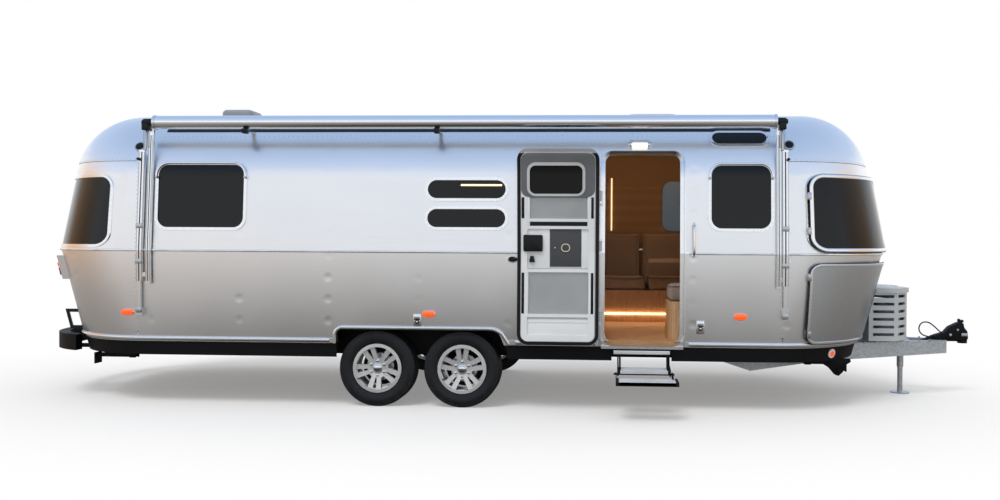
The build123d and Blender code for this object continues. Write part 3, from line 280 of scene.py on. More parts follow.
def lens(name, colour, other, strength=0.0):
    """Ribbed polycarbonate lens: clear colour with depth and a hard gloss."""
    made = Finish(name, colour, 0.12, IOR=1.58, Coat_Weight=0.6, Emission_Color=tone(colour),
                  Emission_Strength=strength)
    ribs = made.add("TexWave", {"Vector": made.place, "Scale": 60.0}).outputs["Fac"]
    made.drive(made.between(ribs, colour, other))
    made.emboss(ribs, 0.0006)
    return made.material


FINISHES = {
    "body_aluminium": rolled_aluminium(),
    "bright_trim": plain_metal("bright_anodised_trim", "#E3E5E7", 0.22, 0.05, 60.0),
    "dark_glass": tinted_glass(),
    "satin_metal": plain_metal("satin_anodised_aluminium", "#BCBFC2", 0.32, 0.06, 90.0,
                               (0.1, 3, 3)),
    "door_leaf": moulded("lacquered_aluminium_silver", "#C6C9CC", "#D0D3D6", 0.36, 300.0,
                         0.00005, Metallic=0.6),
    "white_frame": moulded("white_pvc", "#DEE2E6", "#E9ECEF", 0.42),
    "black_plastic": moulded("black_abs", "#0A0B0C", "#121315", 0.45, 600.0, 0.00025,
                             Specular_IOR_Level=0.3),
    "galvanised_steel": zinc_coat(),
    "locker_grey": moulded("grey_polyethylene", "#B9BFC4", "#C7CCD0", 0.5, 500.0, 0.0003),
    "bottle_grey": moulded("painted_steel_bottle", "#8C9296", "#9BA1A5", 0.4),
    "alloy_wheel": moulded("silver_painted_alloy", "#DCDEE0", "#E8EAEB", 0.28, 300.0, 0.00004,
                           Metallic=0.55, Coat_Weight=0.5, Coat_Roughness=0.1),
    "tyre_rubber": road_rubber(),
    "floor_wood": wood("oak_plank_vinyl", "#C9A077", "#9C7047", "X", 0.12),
    "cabinet_wood": wood("oak_veneer", "#D2AE86", "#A98154", "Z"),
    "upholstery": weave("woven_wool_taupe", "#877A6D", "#A39587"),
    "black_steel": moulded("black_powder_coat", "#070708", "#0D0E0F", 0.6, 500.0, 0.0002,
                           Specular_IOR_Level=0.2),
}
FINISHES.update({
    "bright_rivets": plain_metal("aluminium_rivets", "#D6D9DC", 0.24, 0.04, 200.0),
    # the amber lenses glow at 0.75: on the side markers and the tail this is their lamp lit; on the
    # front reflectors, which are no lamps, it is a painted glow
    "amber_lens": lens("amber_acrylic", "#F04A10", "#FF6A20", 0.75),
    "red_lens": lens("red_acrylic", "#8E1212", "#B52020"),
    "lit_lens": glow("lit_white_acrylic", "#FFF8EC", 0.75),
    "warm_light": glow("warm_led", "#FFC890", 14.0),
    "dark_slide": moulded("dark_grey_polymer", "#3B3D40", "#484A4D", 0.5, 500.0, 0.0002),
    "grey_lining": moulded("grey_felt_lining", "#5E6164", "#6B6E72", 0.7, 600.0, 0.0003),
    "pale_grey": moulded("pale_grey_polymer", "#B9BCBE", "#C6C9CB", 0.5),
    "cream_ring": moulded("cream_polymer", "#CFC9B8", "#DAD5C6", 0.45),
    "wall_lining": weave("textile_wall_lining", "#8E7558", "#A0886A", 0.004, 0.95),
    "satin_roller": plain_metal("aluminium_roller_tube", "#EEF0F2", 0.22, 0.04, 60.0),
    "tread_metal": moulded("ribbed_step_aluminium", "#D3D6D8", "#E2E4E6", 0.34, 200.0, 0.0001,
                           Metallic=0.45),
    "smoked_lid": moulded("smoked_acrylic_lid", "#85898C", "#94989B", 0.3, 300.0, 0.0001),
    "soft_light": glow("light_strip_diffuser", "#FFD7A6", 1.5),
    # a pane that glows though it is no lamp: painted daylight behind the window glass
    "daylight_pane": glow("daylight_in_smoked_glass", "#50606A", 0.45),
    "wire_mesh": moulded("coated_steel_wire", "#AEB2B4", "#BFC3C5", 0.5),
})
# two nodes are finer than their slot: a polished roller tube and a smoked lid
NODE_FINISHES = {"awning_roller": "satin_roller", "fan_vent_lid": "smoked_lid"}


def dress_nodes():
    """Every CAD node takes its finish from the record's slot."""
    for part in frame["record"]["subparts"]:
        node = frame["nodes"][part["node"]]
        node.data.materials.clear()
        node.data.materials.append(
            FINISHES[NODE_FINISHES.get(part["node"], part["material_slot"])])


# ------------------------------------------------------------------ modelling
def deselect():
    if bpy.context.object and bpy.context.object.mode != "OBJECT":
        bpy.ops.object.mode_set(mode="OBJECT")
    bpy.ops.object.select_all(action="DESELECT")


def chosen(piece):
    """Makes a piece the active one and the only one selected."""
    deselect()
    bpy.context.view_layer.objects.active = piece
    piece.select_set(True)
    return piece


def placed(data, name="piece"):
    """A new object in the scene."""
    piece = bpy.data.objects.new(name, data)
    bpy.context.scene.collection.objects.link(piece)
    return chosen(piece)


def meshed(points, faces):
    mesh = bpy.data.meshes.new("piece")
    mesh.from_pydata(points, [], faces)
    return placed(mesh)


def edited(*steps):
    """Runs mesh operators, each with its settings, on all of the active piece."""
    bpy.ops.object.mode_set(mode="EDIT")
    for step, settings in steps:
        bpy.ops.mesh.select_all(action="SELECT")
        getattr(bpy.ops.mesh, step)(**settings)
    bpy.ops.object.mode_set(mode="OBJECT")
    return bpy.context.object


def settled():
    """Applies the active piece's place, turn and size."""
    bpy.ops.object.transform_apply(location=True, rotation=True, scale=True)
    return bpy.context.object


def modified(piece, kind, **settings):
    """Puts a modifier on the active piece and applies it."""
    bpy.ops.object.modifier_add(type=kind)
    for key, value in settings.items():
        setattr(piece.modifiers[0], key, value)
    bpy.ops.object.modifier_apply(modifier=piece.modifiers[0].name)
    return piece


def block(low, high, bevel=0.002, segments=2):
    """A block between two corners, its edges rounded."""
    deselect()
    bpy.ops.mesh.primitive_cube_add(size=1, location=[(a + b) / 2 for a, b in zip(low, high)],
                                    scale=[b - a for a, b in zip(low, high)])
    settled()
    return edited(("bevel", {"offset": bevel, "segments": segments, "affect": "EDGES"}))


def rod(start, end, radius, vertices=20, bevel=0.0):
    """A round bar between two points."""
    deselect()
    start, end = Vector(start), Vector(end)
    way = end - start
    bpy.ops.mesh.primitive_cone_add(vertices=vertices, radius1=radius, radius2=radius,
                                    depth=way.length, location=(start + end) / 2,
                                    rotation=way.to_track_quat("Z", "Y").to_euler())
    piece = settled()
    return modified(piece, "BEVEL", width=bevel, segments=2) if bevel else piece


def ball(centre, radius, squash=(1, 1, 1), segments=16, rings=10):
    deselect()
    bpy.ops.mesh.primitive_uv_sphere_add(segments=segments, ring_count=rings, radius=radius,
                                         location=centre, scale=squash)
    return settled()


def wire(points, radius, order, resolution, sides, closed=False):
    """A curve along points with a round section; order 2 keeps its corners."""
    line = bpy.data.curves.new("wire", "CURVE")
    line.dimensions = "3D"
    line.bevel_depth = radius
    line.bevel_resolution = sides
    line.use_fill_caps = True
    run = line.splines.new("NURBS" if order > 2 else "POLY")
    run.points.add(len(points) - 1)
    for point, place in zip(run.points, points):
        point.co = (*place, 1.0)
    run.use_cyclic_u = closed
    if order > 2:
        run.order_u = order
        run.use_endpoint_u = not closed
        run.resolution_u = resolution
    return line


def tube(points, radius, closed=False, order=3, sides=3):
    """A bent tube along points, made a mesh."""
    placed(wire(points, radius, order, 6, sides, closed))
    bpy.ops.object.convert(target="MESH")
    return bpy.context.object


def plate(outline, thickness, bevel=0.0):
    """A flat plate from (x, z) corners, its face at y = 0 and its back at y = thickness."""
    meshed([(x, 0.0, z) for x, z in outline], [tuple(range(len(outline)))])
    steps = [("extrude_region_move", {"TRANSFORM_OT_translate": {"value": (0, thickness, 0)}}),
             ("normals_make_consistent", {"inside": False})]
    if bevel:
        steps.append(("bevel", {"offset": bevel, "segments": 2, "affect": "EDGES"}))
    return edited(*steps)


def solid_of(points, faces):
    """A mesh with its faces turned outwards."""
    meshed(points, faces)
    return edited(("normals_make_consistent", {"inside": False}))


def rounded(x0, x1, z0, z1, radius, steps=6):
    """Corners of a rounded rectangle."""
    corners = [(x1 - radius, z1 - radius, 0), (x0 + radius, z1 - radius, 90),
               (x0 + radius, z0 + radius, 180), (x1 - radius, z0 + radius, 270)]
    return [(x + radius * math.cos(math.radians(a + 90 * k / steps)),
             z + radius * math.sin(math.radians(a + 90 * k / steps)))
            for x, z, a in corners for k in range(steps + 1)]


def swept(rows, looped):
    """Faces between rows of points, each row a closed section."""
    count = len(rows[0])
    faces = []
    for k in range(len(rows) if looped else len(rows) - 1):
        here, then = k * count, ((k + 1) % len(rows)) * count
        faces += [(here + j, here + (j + 1) % count, then + (j + 1) % count, then + j)
                  for j in range(count)]
    if not looped:
        faces += [tuple(range(count)), tuple(range((len(rows) - 1) * count, len(rows) * count))]
    return solid_of([p for row in rows for p in row], faces)


def bezel(outer, inner, thickness, steps=8):
    """A flat frame between two rounded rectangles, each x0, x1, z0, z1, radius; its front
    is at y = 0 and its back at y = thickness."""
    outer, inner = rounded(*outer, steps), rounded(*inner, steps)
    return swept([[(x, y, z) for x, z in edge] for edge, y in
                  ((outer, thickness), (outer, 0.0), (inner, 0.0), (inner, thickness))], True)


def ring(x0, x1, z0, z1, radius, width, thickness):
    """A flat frame of even width round a rounded rectangle."""
    inner = (x0 + width, x1 - width, z0 + width, z1 - width, max(radius - width, 0.004))
    return bezel((x0, x1, z0, z1, radius), inner, thickness)


def shifted(piece, rule):
    """Gives each point of a piece the place that a rule makes of it."""
    for point in piece.data.vertices:
        point.co = rule(point.co)
    return piece


def done(parts, name, finish, body="caravan", angle=35):
    """Joins parts to one piece, names it, gives it its finish and rides it on a body."""
    parts = parts if isinstance(parts, list) else [parts]
    deselect()
    for part in parts:
        part.select_set(True)
    piece = bpy.context.view_layer.objects.active = parts[0]
    if len(parts) > 1:
        bpy.ops.object.join()
    chosen(piece)
    piece.name = piece.data.name = name
    if angle:
        bpy.ops.object.shade_smooth_by_angle(angle=math.radians(angle))
    piece.data.materials.clear()
    piece.data.materials.append(FINISHES[finish])
    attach(piece, body)
    return piece


# ------------------------------------------------------------------ the skin as a surface
def surface_of(*nodes):
    """The faces of CAD nodes, to lay trim and rivets on."""
    points, faces = [], []
    for name in nodes:
        mesh = frame["nodes"][name].data
        start = len(points)
        points += [v.co.copy() for v in mesh.vertices]
        faces += [tuple(start + k for k in f.vertices) for f in mesh.polygons]
    return BVHTree.FromPolygons(points, faces)


SKIN = surface_of(*SHELL)
CLOSED = surface_of(*SHELL, "window_glass")
FRAMED = surface_of("side_wall_right", "side_wall_left", "window_frames", "window_glass")
DOOR = surface_of("entry_door", "screen_door_frame")


def outward(place):
    """Away from the body's long axis at a point."""
    return (place - Vector((min(max(place.x, -7.3), -1.3), 0, 1.5))).normalized()


def seen(surface, spot, way):
    """Where a ray meets a surface, and the normal there turned back along the ray."""
    place, normal = surface.ray_cast(spot, way)[:2]
    return place, normal if place is None or normal.dot(way) < 0 else -normal


def wall_y(z, side):
    """The side wall's face at a height."""
    shift = (z - BELT) * LEAN if z > BELT else (BELT - z) * TUCK
    return side * (WALL_Y - shift)


def on_side(x, z, side=-1, surface=SKIN):
    """Point and normal of the outer face of a side wall."""
    return seen(surface, Vector((x, side * 3, z)), Vector((0, -side, 0)))


def evened(spots, step, closed=False):
    """Points and normals at even steps along a path; a gap over 0.3 m is jumped."""
    if closed:
        spots = spots + spots[:1]
    result, left = [spots[0]], step
    for (p, n), (q, m) in zip(spots, spots[1:]):
        length = (q - p).length
        if length > 0.3:
            left = step
            result.append((q, m))
            continue
        while left <= length:
            share = left / length
            result.append((p.lerp(q, share), n.lerp(m, share).normalized()))
            left += step
        left -= length
    return result


def level_line(z, x0, x1, side=None):
    """The skin's outer face at a height, from one x to another, round the ends if asked."""
    found = []
    for k in range(721):
        angle = math.radians(k / 2)
        spot = Vector((-4.3, 0, z)) + Vector((math.cos(angle) * 4.6, math.sin(angle) * 1.9, 0))
        centre = Vector((min(max(spot.x, -7.1), -1.5), 0, z))
        way = (spot - centre).normalized()
        place, normal = seen(SKIN, centre + way * 3, -way)
        if (place and (place - centre).length > 0.8 and x0 <= place.x <= x1
                and (side is None or place.y * side > 0)):
            found.append((place, normal))
    return found


def arch_line(x, low):
    """The skin's outer face across the body at one x, from sill to sill."""
    found, centre = [], Vector((x, 0, 1.3))
    for k in range(-180, 181):
        angle = math.radians(k * 0.75)
        way = Vector((0, math.sin(angle), math.cos(angle)))
        place, normal = seen(SKIN, centre + way * 3, -way)
        if place and place.z > low and (place - centre).length > 0.9:
            found.append((place, normal))
    return found


def raised(path, out):
    return [(p + n * out, n) for p, n in path]


def strip(spots, width, rise, closed=False, sink=0.0015):
    """A moulding of rounded section laid along a path on a surface."""
    half = [(0.15, rise), (0.38, rise * 0.92), (0.5, rise * 0.55), (0.5, -sink)]
    profile = [(-a, b) for a, b in half[::-1]] + half
    rows = []
    for k, (place, normal) in enumerate(spots):
        before = spots[k - 1 if k or closed else 0][0]
        after = spots[(k + 1) % len(spots) if k < len(spots) - 1 or closed else k][0]
        across = (after - before).normalized().cross(normal).normalized()
        rows.append([place + across * (a * width) + normal * b for a, b in profile])
    return swept(rows, closed)


def rivets(spots, radius=0.0042):
    """Rivet heads, each a ball's flattened upper half, standing on a surface."""
    ball((0, 0, 0), 1.0, (1, 1, 0.45), 8, 6)
    head = edited(("bisect", {"plane_co": (0, 0, 0), "plane_no": (0, 0, 1),
                              "clear_inner": True, "use_fill": True}))
    heights = [v.co.copy() for v in head.data.vertices]
    sides = [tuple(f.vertices) for f in head.data.polygons]
    bpy.data.objects.remove(head)
    points, faces = [], []
    for place, normal in spots:
        turn = normal.to_track_quat("Z", "Y")
        start = len(points)
        points += [place + turn @ (p * radius) for p in heights]
        faces += [tuple(start + k for k in f) for f in sides]
    return meshed(points, faces)


def rims(node, lowest, shown=0.75):
    """The edge loops of a node's outward faces, each a list of points with normals."""
    work = bmesh.new()
    work.from_mesh(frame["nodes"][node].data)
    bmesh.ops.remove_doubles(work, verts=work.verts, dist=1e-5)
    work.normal_update()
    hidden = []
    for face in work.faces:
        middle = face.calc_center_median()
        place, normal = CLOSED.find_nearest(middle)[:2]
        normal = normal if normal.dot(outward(middle)) > 0 else -normal
        if face.normal.dot(normal) < shown or (middle - place).dot(normal) < lowest:
            hidden.append(face)
    bmesh.ops.delete(work, geom=hidden, context="FACES")
    ahead = {}
    for edge in work.edges:
        if len(edge.link_faces) == 1:
            loop = edge.link_loops[0]
            ahead[loop.vert.index] = (loop.link_loop_next.vert, edge.link_faces[0].normal.copy())
    work.verts.ensure_lookup_table()
    loops = []
    while ahead:
        here, path = next(iter(ahead)), []
        while here in ahead:
            vert, normal = ahead.pop(here)
            path.append((vert.co.copy(), normal))
            here = vert.index
        if len(path) > 5:
            loops.append(path)
    work.free()
    return loops


def moved_in(path, inset):
    """A closed path moved inwards along its surface."""
    result = []
    for k, (place, normal) in enumerate(path):
        along = (path[(k + 1) % len(path)][0] - path[k - 1][0]).normalized()
        result.append((place + normal.cross(along).normalized() * inset, normal))
    return result


def seated(piece, place, normal):
    """Stands a piece drawn on the XY plane (Y up, Z outwards) on a surface."""
    up = (Vector((0, 0, 1)) - normal * normal.z).normalized()
    turn = Matrix((up.cross(normal), up, normal)).transposed()
    return shifted(piece, lambda co: place + turn @ co)


def fitting(name, finish, spots, *parts):
    """The same small piece at several places of the skin, as one piece. A part is a shape's
    function with what it takes."""
    return done([seated(make(*values), *spot) for spot in spots for make, *values in parts],
                name, finish)


# ------------------------------------------------------------------ riveted skin
def runs(spots, kept):
    """The stretches of a path where a test holds."""
    found, run = [], []
    for spot in spots:
        if kept(spot[0]):
            run.append(spot)
        else:
            found, run = found + [run], []
    return [run for run in found + [run] if len(run) > 2]


def clear_of_door(p):
    return not (p.y < -1.1 and -3.006 < p.x < -2.240)


def clear_of_arch(p):
    return not (abs(p.y) > 1.1 and -5.40 < p.x < -3.775)


def arch_outline():
    """One wheel arch as x, z points: a round rear corner and a slope at the front."""
    x0, x1, x2, top, low = -5.371, -3.886, -3.802, 0.719, 0.585
    bends = [(x0 + 0.075 - 0.075 * math.sin(a), top - 0.075 + 0.075 * math.cos(a))
             for a in [math.radians(90 - 10 * k) for k in range(10)]]
    slope = Vector((x2 - x1, 0.575 - top)).normalized()
    return [(x0, low)] + bends + [
        (x1 - 0.10, top), (x1 - 0.05, top - 0.004), (x1 - 0.012, top - 0.020),
        (x1 + slope.x * 0.05, top + slope.y * 0.05), (x2, low)]


def make_mouldings():
    """Rounded cappings on the belt, the bottom rail and the wheel arches, and a black strip
    under the awning that is painted shadow of the gap behind the roller."""
    belt = [strip(raised(run, 0.0055), 0.020, 0.005)
            for run in runs(level_line(BELT, -9, 1), clear_of_door)]
    done(belt, "belt_capping", "bright_trim", angle=50)
    rail = [strip(raised(run, 0.0085), 0.034, 0.009)
            for run in runs(level_line(RAIL, -9, 1),
                            lambda p: clear_of_door(p) and clear_of_arch(p))]
    done(rail, "rail_capping", "bright_trim", angle=50)
    arches = []
    for side in (-1, 1):
        normal = Vector((0, side, -TUCK)).normalized()
        path = [(Vector((x, wall_y(z, side), z)), normal) for x, z in arch_outline()]
        arches.append(strip(raised(evened(path, 0.015), 0.011), 0.030, 0.007))
    done(arches, "arch_capping", "bright_trim", angle=50)
    # black strip on the skin under the roller: painted shadow of the gap between roller and body
    gap = strip([on_side(-7.03 + 0.185 * k, 2.509) for k in range(31)], 0.042, 0.006)
    done(gap, "awning_gap_seal", "black_plastic", angle=50)


def make_seams():
    # columns: path, step of its rivets, width and rise of the strap, height of its rivets
    bands = [(arch_line(x, 0.62), 0.04, 0.034, 0.0014, 0.0012) for x in (FRONT_SEAM, REAR_SEAM)]
    bands += [(arch_line(x, 2.456), 0.04, 0.026, 0.0012, 0.001) for x in (-3.35, -5.30)]
    ends = ((-9, -7.22), (-1.38, 1))
    bands += [(level_line(END_SEAM, *span), 0.045, 0.022, 0.0013, 0.0012) for span in ends]
    bands += [(level_line(2.45, -7.19, -1.41, side), 0.045, 0.022, 0.0013, 0.0012)
              for side in (-1, 1)]
    straps, heads = [], []
    for number, (line, step, width, rise, out) in enumerate(bands):
        path = evened(line, step)
        straps.append(strip(path, width, rise))
        for shift in (-0.010, 0.010) if number < 2 else (0.0,):
            heads += [(p + Vector((shift, 0, 0)) + n * out, n) for p, n in path]
    done(straps, "seam_straps", "body_aluminium")
    done([strip(level_line(2.2125, *span), 0.005, 0.0016) for span in ends],
         "seam_sealant", "dark_slide")
    done(rivets(heads), "seam_rivets", "bright_rivets", angle=60)

    heads = []
    for side in (-1, 1):
        for z, out in ((BELT, 0.006), (RAIL, 0.009)):
            for p, n in evened(level_line(z, -8.3, -0.3, side), 0.09):
                at_door = side < 0 and -3.03 < p.x < -2.24 and p.y < -1.1
                at_arch = z < BELT and -5.42 < p.x < -3.75 and abs(p.y) > 1.1
                if not at_door and not at_arch:
                    heads.append((p + n * out, n))
    done(rivets(heads, 0.0036), "moulding_rivets", "bright_rivets", angle=60)

    heads = []
    for path in rims("window_frames", 0.004):
        if max((p - q).length for p, _ in path[::6] for q, _ in path[::6]) > 0.3:
            heads += evened(moved_in(path, 0.007), 0.045, closed=True)
    done(rivets(heads, 0.0026), "frame_rivets", "bright_rivets", angle=60)


def make_guard_trims():
    for node, width in (("window_guards", 0.032), ("stone_guards", 0.024)):
        bands, dark = [], []
        for path in rims(node, 0.03):
            even = evened(path, 0.03, closed=True)
            if len(even) >= 30:
                bands.append(strip(moved_in(even, width * 0.45), width, 0.007, closed=True))
                # black strip just outside each guard: painted shade of the gap between guard and
                # skin
                dark.append(strip(moved_in(even, -0.001), 0.010, 0.003, closed=True,
                                  sink=0.006))
        done(bands, node + "_trim", "bright_trim")
        done(dark, node + "_seal", "black_plastic")
    spots = []
    for side in (-1, 1):
        spots += [on_side(-1.212, z, side) for z in (1.905, 1.60, 1.20, 0.70)]
        spots += [seen(SKIN, Vector((2.7, side * 0.362, z)), Vector((-1, 0, 0)))
                  for z in (1.905, 1.60, 1.16, 0.78)]
    fitting("guard_clips", "satin_metal", spots,
            (block, (0.018, -0.032, -0.002), (0.050, 0.032, 0.046), 0.005))


def make_window_trims():
    seals = []
    for path in rims("window_glass", -0.02, 0.6):
        even = evened(path, 0.02, closed=True)
        if len(even) > 24:
            seals.append(strip(moved_in(even, 0.004), 0.014, 0.005, closed=True, sink=0.002))
    done(seals, "window_seals", "black_plastic")

    caps, pins = [], []
    for side, x0, x1 in ((-1, -7.015, -6.205), (-1, -2.030, -1.495),
                         (1, -7.015, -6.205), (1, -2.330, -1.495)):
        x0, x1 = x0 - 0.006, x1 + 0.006
        outline = [(x1, 2.068), (x1, 2.078), *rounded(x0, x1, 1.0, 2.191, 0.106, 10)[:22],
                   (x0, 2.078), (x0, 2.068)]
        path = evened([on_side(x, z, side, FRAMED) for x, z in outline], 0.02)
        caps.append(strip(path, 0.020, 0.022))
        pins += [on_side(x, 2.062, side, FRAMED) for x in (x0, x1)]
    done(caps, "window_drip_caps", "bright_trim")
    fitting("window_hinge_pins", "galvanised_steel", pins,
            (rod, (0, 0, 0.006), (0, 0, 0.026), 0.011, 14, 0.002))


def upright(outline, thickness, bevel, out):
    """A plate drawn on the XY plane, its face so far out."""
    return shifted(plate(outline, thickness, bevel),
                   lambda co: Vector((co.x, co.z, out - co.y)))


def make_small_fittings():
    markers = [on_side(x, z, side) for side in (-1, 1)
               for x, z in ((-7.284, 0.835), (-4.518, 0.846), (-1.764, 0.849))]
    fitting("marker_bezels", "bright_trim", markers,
            (ball, (0, 0, 0), 1, (0.060, 0.032, 0.008), 24, 10))
    fitting("marker_lenses", "amber_lens", markers,
            (upright, rounded(-0.056, 0.056, -0.027, 0.027, 0.0262), 0.018, 0.005, 0.016))
    high = [on_side(x, z, side) for side in (-1, 1) for x, z in ((-1.335, 2.36), (-7.225, 2.345))]
    fitting("speaker_rims", "satin_metal", high,
            (rod, (0, 0, -0.012), (0, 0, 0.012), 0.050, 32, 0.003))
    fitting("speaker_cones", "black_plastic", high,
            (rod, (0, 0, -0.008), (0, 0, 0.0145), 0.038, 32, 0.002),
            *[(rod, (-0.036, 0.012 * k, 0.0150), (0.036, 0.012 * k, 0.0150), 0.0014, 6)
              for k in (-1, 0, 1)])
    porch = [on_side(-2.649, 2.361)]
    fitting("porch_light_rim", "bright_trim", porch,
            (block, (-0.098, -0.034, -0.004), (0.098, 0.040, 0.046), 0.020, 5),
            (block, (-0.106, -0.004, -0.004), (0.106, 0.006, 0.050), 0.004))
    fitting("porch_light_lens", "lit_lens", porch,
            (block, (-0.074, -0.042, 0.0), (0.074, -0.006, 0.053), 0.015, 5))
    sockets = [on_side(-4.621, 0.787), on_side(-2.111, 0.753), on_side(-5.9, 0.80, 1),
               on_side(-2.6, 0.80, 1)]
    fitting("socket_plates", "bright_trim", sockets,
            (block, (-0.034, -0.058, -0.002), (0.034, 0.058, 0.007), 0.003),
            (block, (-0.028, 0.012, 0.004), (0.028, 0.052, 0.016), 0.004))
    fitting("socket_locks", "black_plastic", sockets,
            (rod, (0, -0.012, 0.004), (0, -0.012, 0.014), 0.019, 20, 0.002),
            (rod, (-0.026, 0.010, 0.010), (0.026, 0.010, 0.010), 0.005, 10))
    fitting("socket_keyholes", "bright_trim", sockets,
            (rod, (0, -0.012, 0.010), (0, -0.012, 0.017), 0.010, 16, 0.001))
    skirt = surface_of("skirt")
    ends = [on_side(-0.93, 0.515, side, skirt) for side in (-1, 1)]
    fitting("reflector_rims", "white_frame", ends,
            (rod, (0, 0, -0.004), (0, 0, 0.010), 0.042, 28, 0.002))
    # the reflector lenses take the glowing amber finish: a painted glow, since reflectors are no
    # lamps
    fitting("reflector_lenses", "amber_lens", ends,
            (rod, (0, 0, 0), (0, 0, 0.013), 0.027, 24, 0.002))

    bend = [(0.135, 0.0), (0.132, 0.035), (0.10, 0.052)]
    bar = [(0, -y, z) for y, z in bend] + [(0, 0, 0.056)] + [(0, y, z) for y, z in bend[::-1]]
    fitting("grab_handle", "bright_trim", [on_side(-2.172, 1.52)], (tube, bar, 0.011),
            *[(rod, (0, y, -0.001), (0, y, 0.008), 0.020, 20, 0.002) for y in (-0.135, 0.135)])
    catch = [on_side(-3.77, 1.338)]
    fitting("door_catch", "black_plastic", catch,
            (ball, (0, 0, 0), 1, (0.034, 0.022, 0.010), 20, 10),
            (block, (0.006, -0.013, 0.004), (0.044, 0.013, 0.034), 0.006))
    loop = [(0.040 * math.cos(a), 0.027 * math.sin(a), 0.006)
            for a in [math.tau * k / 16 for k in range(16)]]
    fitting("door_catch_rim", "bright_trim", catch, (tube, loop, 0.005, True))
    fitting("galley_light_line", "soft_light", [on_side(-4.054, 1.997, -1, FRAMED)],
            (block, (-0.184, -0.008, -0.001), (0.184, 0.008, 0.002), 0.0008, 1))


# ------------------------------------------------------------------ door
def door_y(z, out=0.0):
    """Outward face of the opened door's inner side at a height, read off its screen frame:
    off a side rail below the frame's rounded corner and off its head above it."""
    def read(x, level):
        return DOOR.ray_cast(Vector((x, -3, level)), Vector((0, 1, 0)))[0].y + 0.022 - out
    low, high = 2.170, 2.222
    share = min(max((z - low) / (high - low), 0.0), 1.0)
    return (read(-3.650, min(max(z, 0.64), low)) * (1 - share)
            + read(-3.360, min(max(z, high), 2.25)) * share)


def on_door(piece, out, name, finish):
    """Lays a flat piece, its face at y = 0, on the opened door."""
    work = bmesh.new()
    work.from_mesh(piece.data)
    for height in (BELT, 2.0, 2.1, 2.15, 2.17, 2.195, 2.222, 2.25):
        bmesh.ops.bisect_plane(work, geom=work.verts[:] + work.edges[:] + work.faces[:],
                               plane_co=(0, 0, height), plane_no=(0, 0, 1))
    for point in work.verts:
        point.co.y += door_y(point.co.z, out)
    work.to_mesh(piece.data)
    work.free()
    done(piece, name, finish, "door")


def make_mesh_screens():
    """The door's wire mesh, a square bar for every wire."""
    pitch, half, wires = 0.006, 0.0007, []
    for x0, x1, z0, z1 in ((-3.604, -3.103, 1.698, 1.885), (-3.662, -3.042, 0.868, 1.229)):
        y0, y1 = door_y(z0, 0.010), door_y(z1, 0.010)
        for k in range(1, int((x1 - x0) / pitch)):
            wires.append(((x0 + k * pitch, y0, z0), (x0 + k * pitch, y1, z1)))
        for k in range(1, int((z1 - z0) / pitch)):
            z = z0 + k * pitch
            y = y0 + (y1 - y0) * (z - z0) / (z1 - z0)
            wires.append(((x0, y, z), (x1, y, z)))
    points, faces, out = [], [], Vector((0, half, 0))
    for start, end in wires:
        start, end = Vector(start), Vector(end)
        side = (end - start).normalized().cross(Vector((0, 1, 0))) * half
        base = len(points)
        for spot in (start, end):
            points += [spot + side, spot + out, spot - side, spot - out]
        faces += [(base + k, base + (k + 1) % 4, base + 4 + (k + 1) % 4, base + 4 + k)
                  for k in range(4)] + [(base, base + 1, base + 2, base + 3),
                                        (base + 7, base + 6, base + 5, base + 4)]
    done(solid_of(points, faces), "door_mesh", "wire_mesh", "door", angle=0)


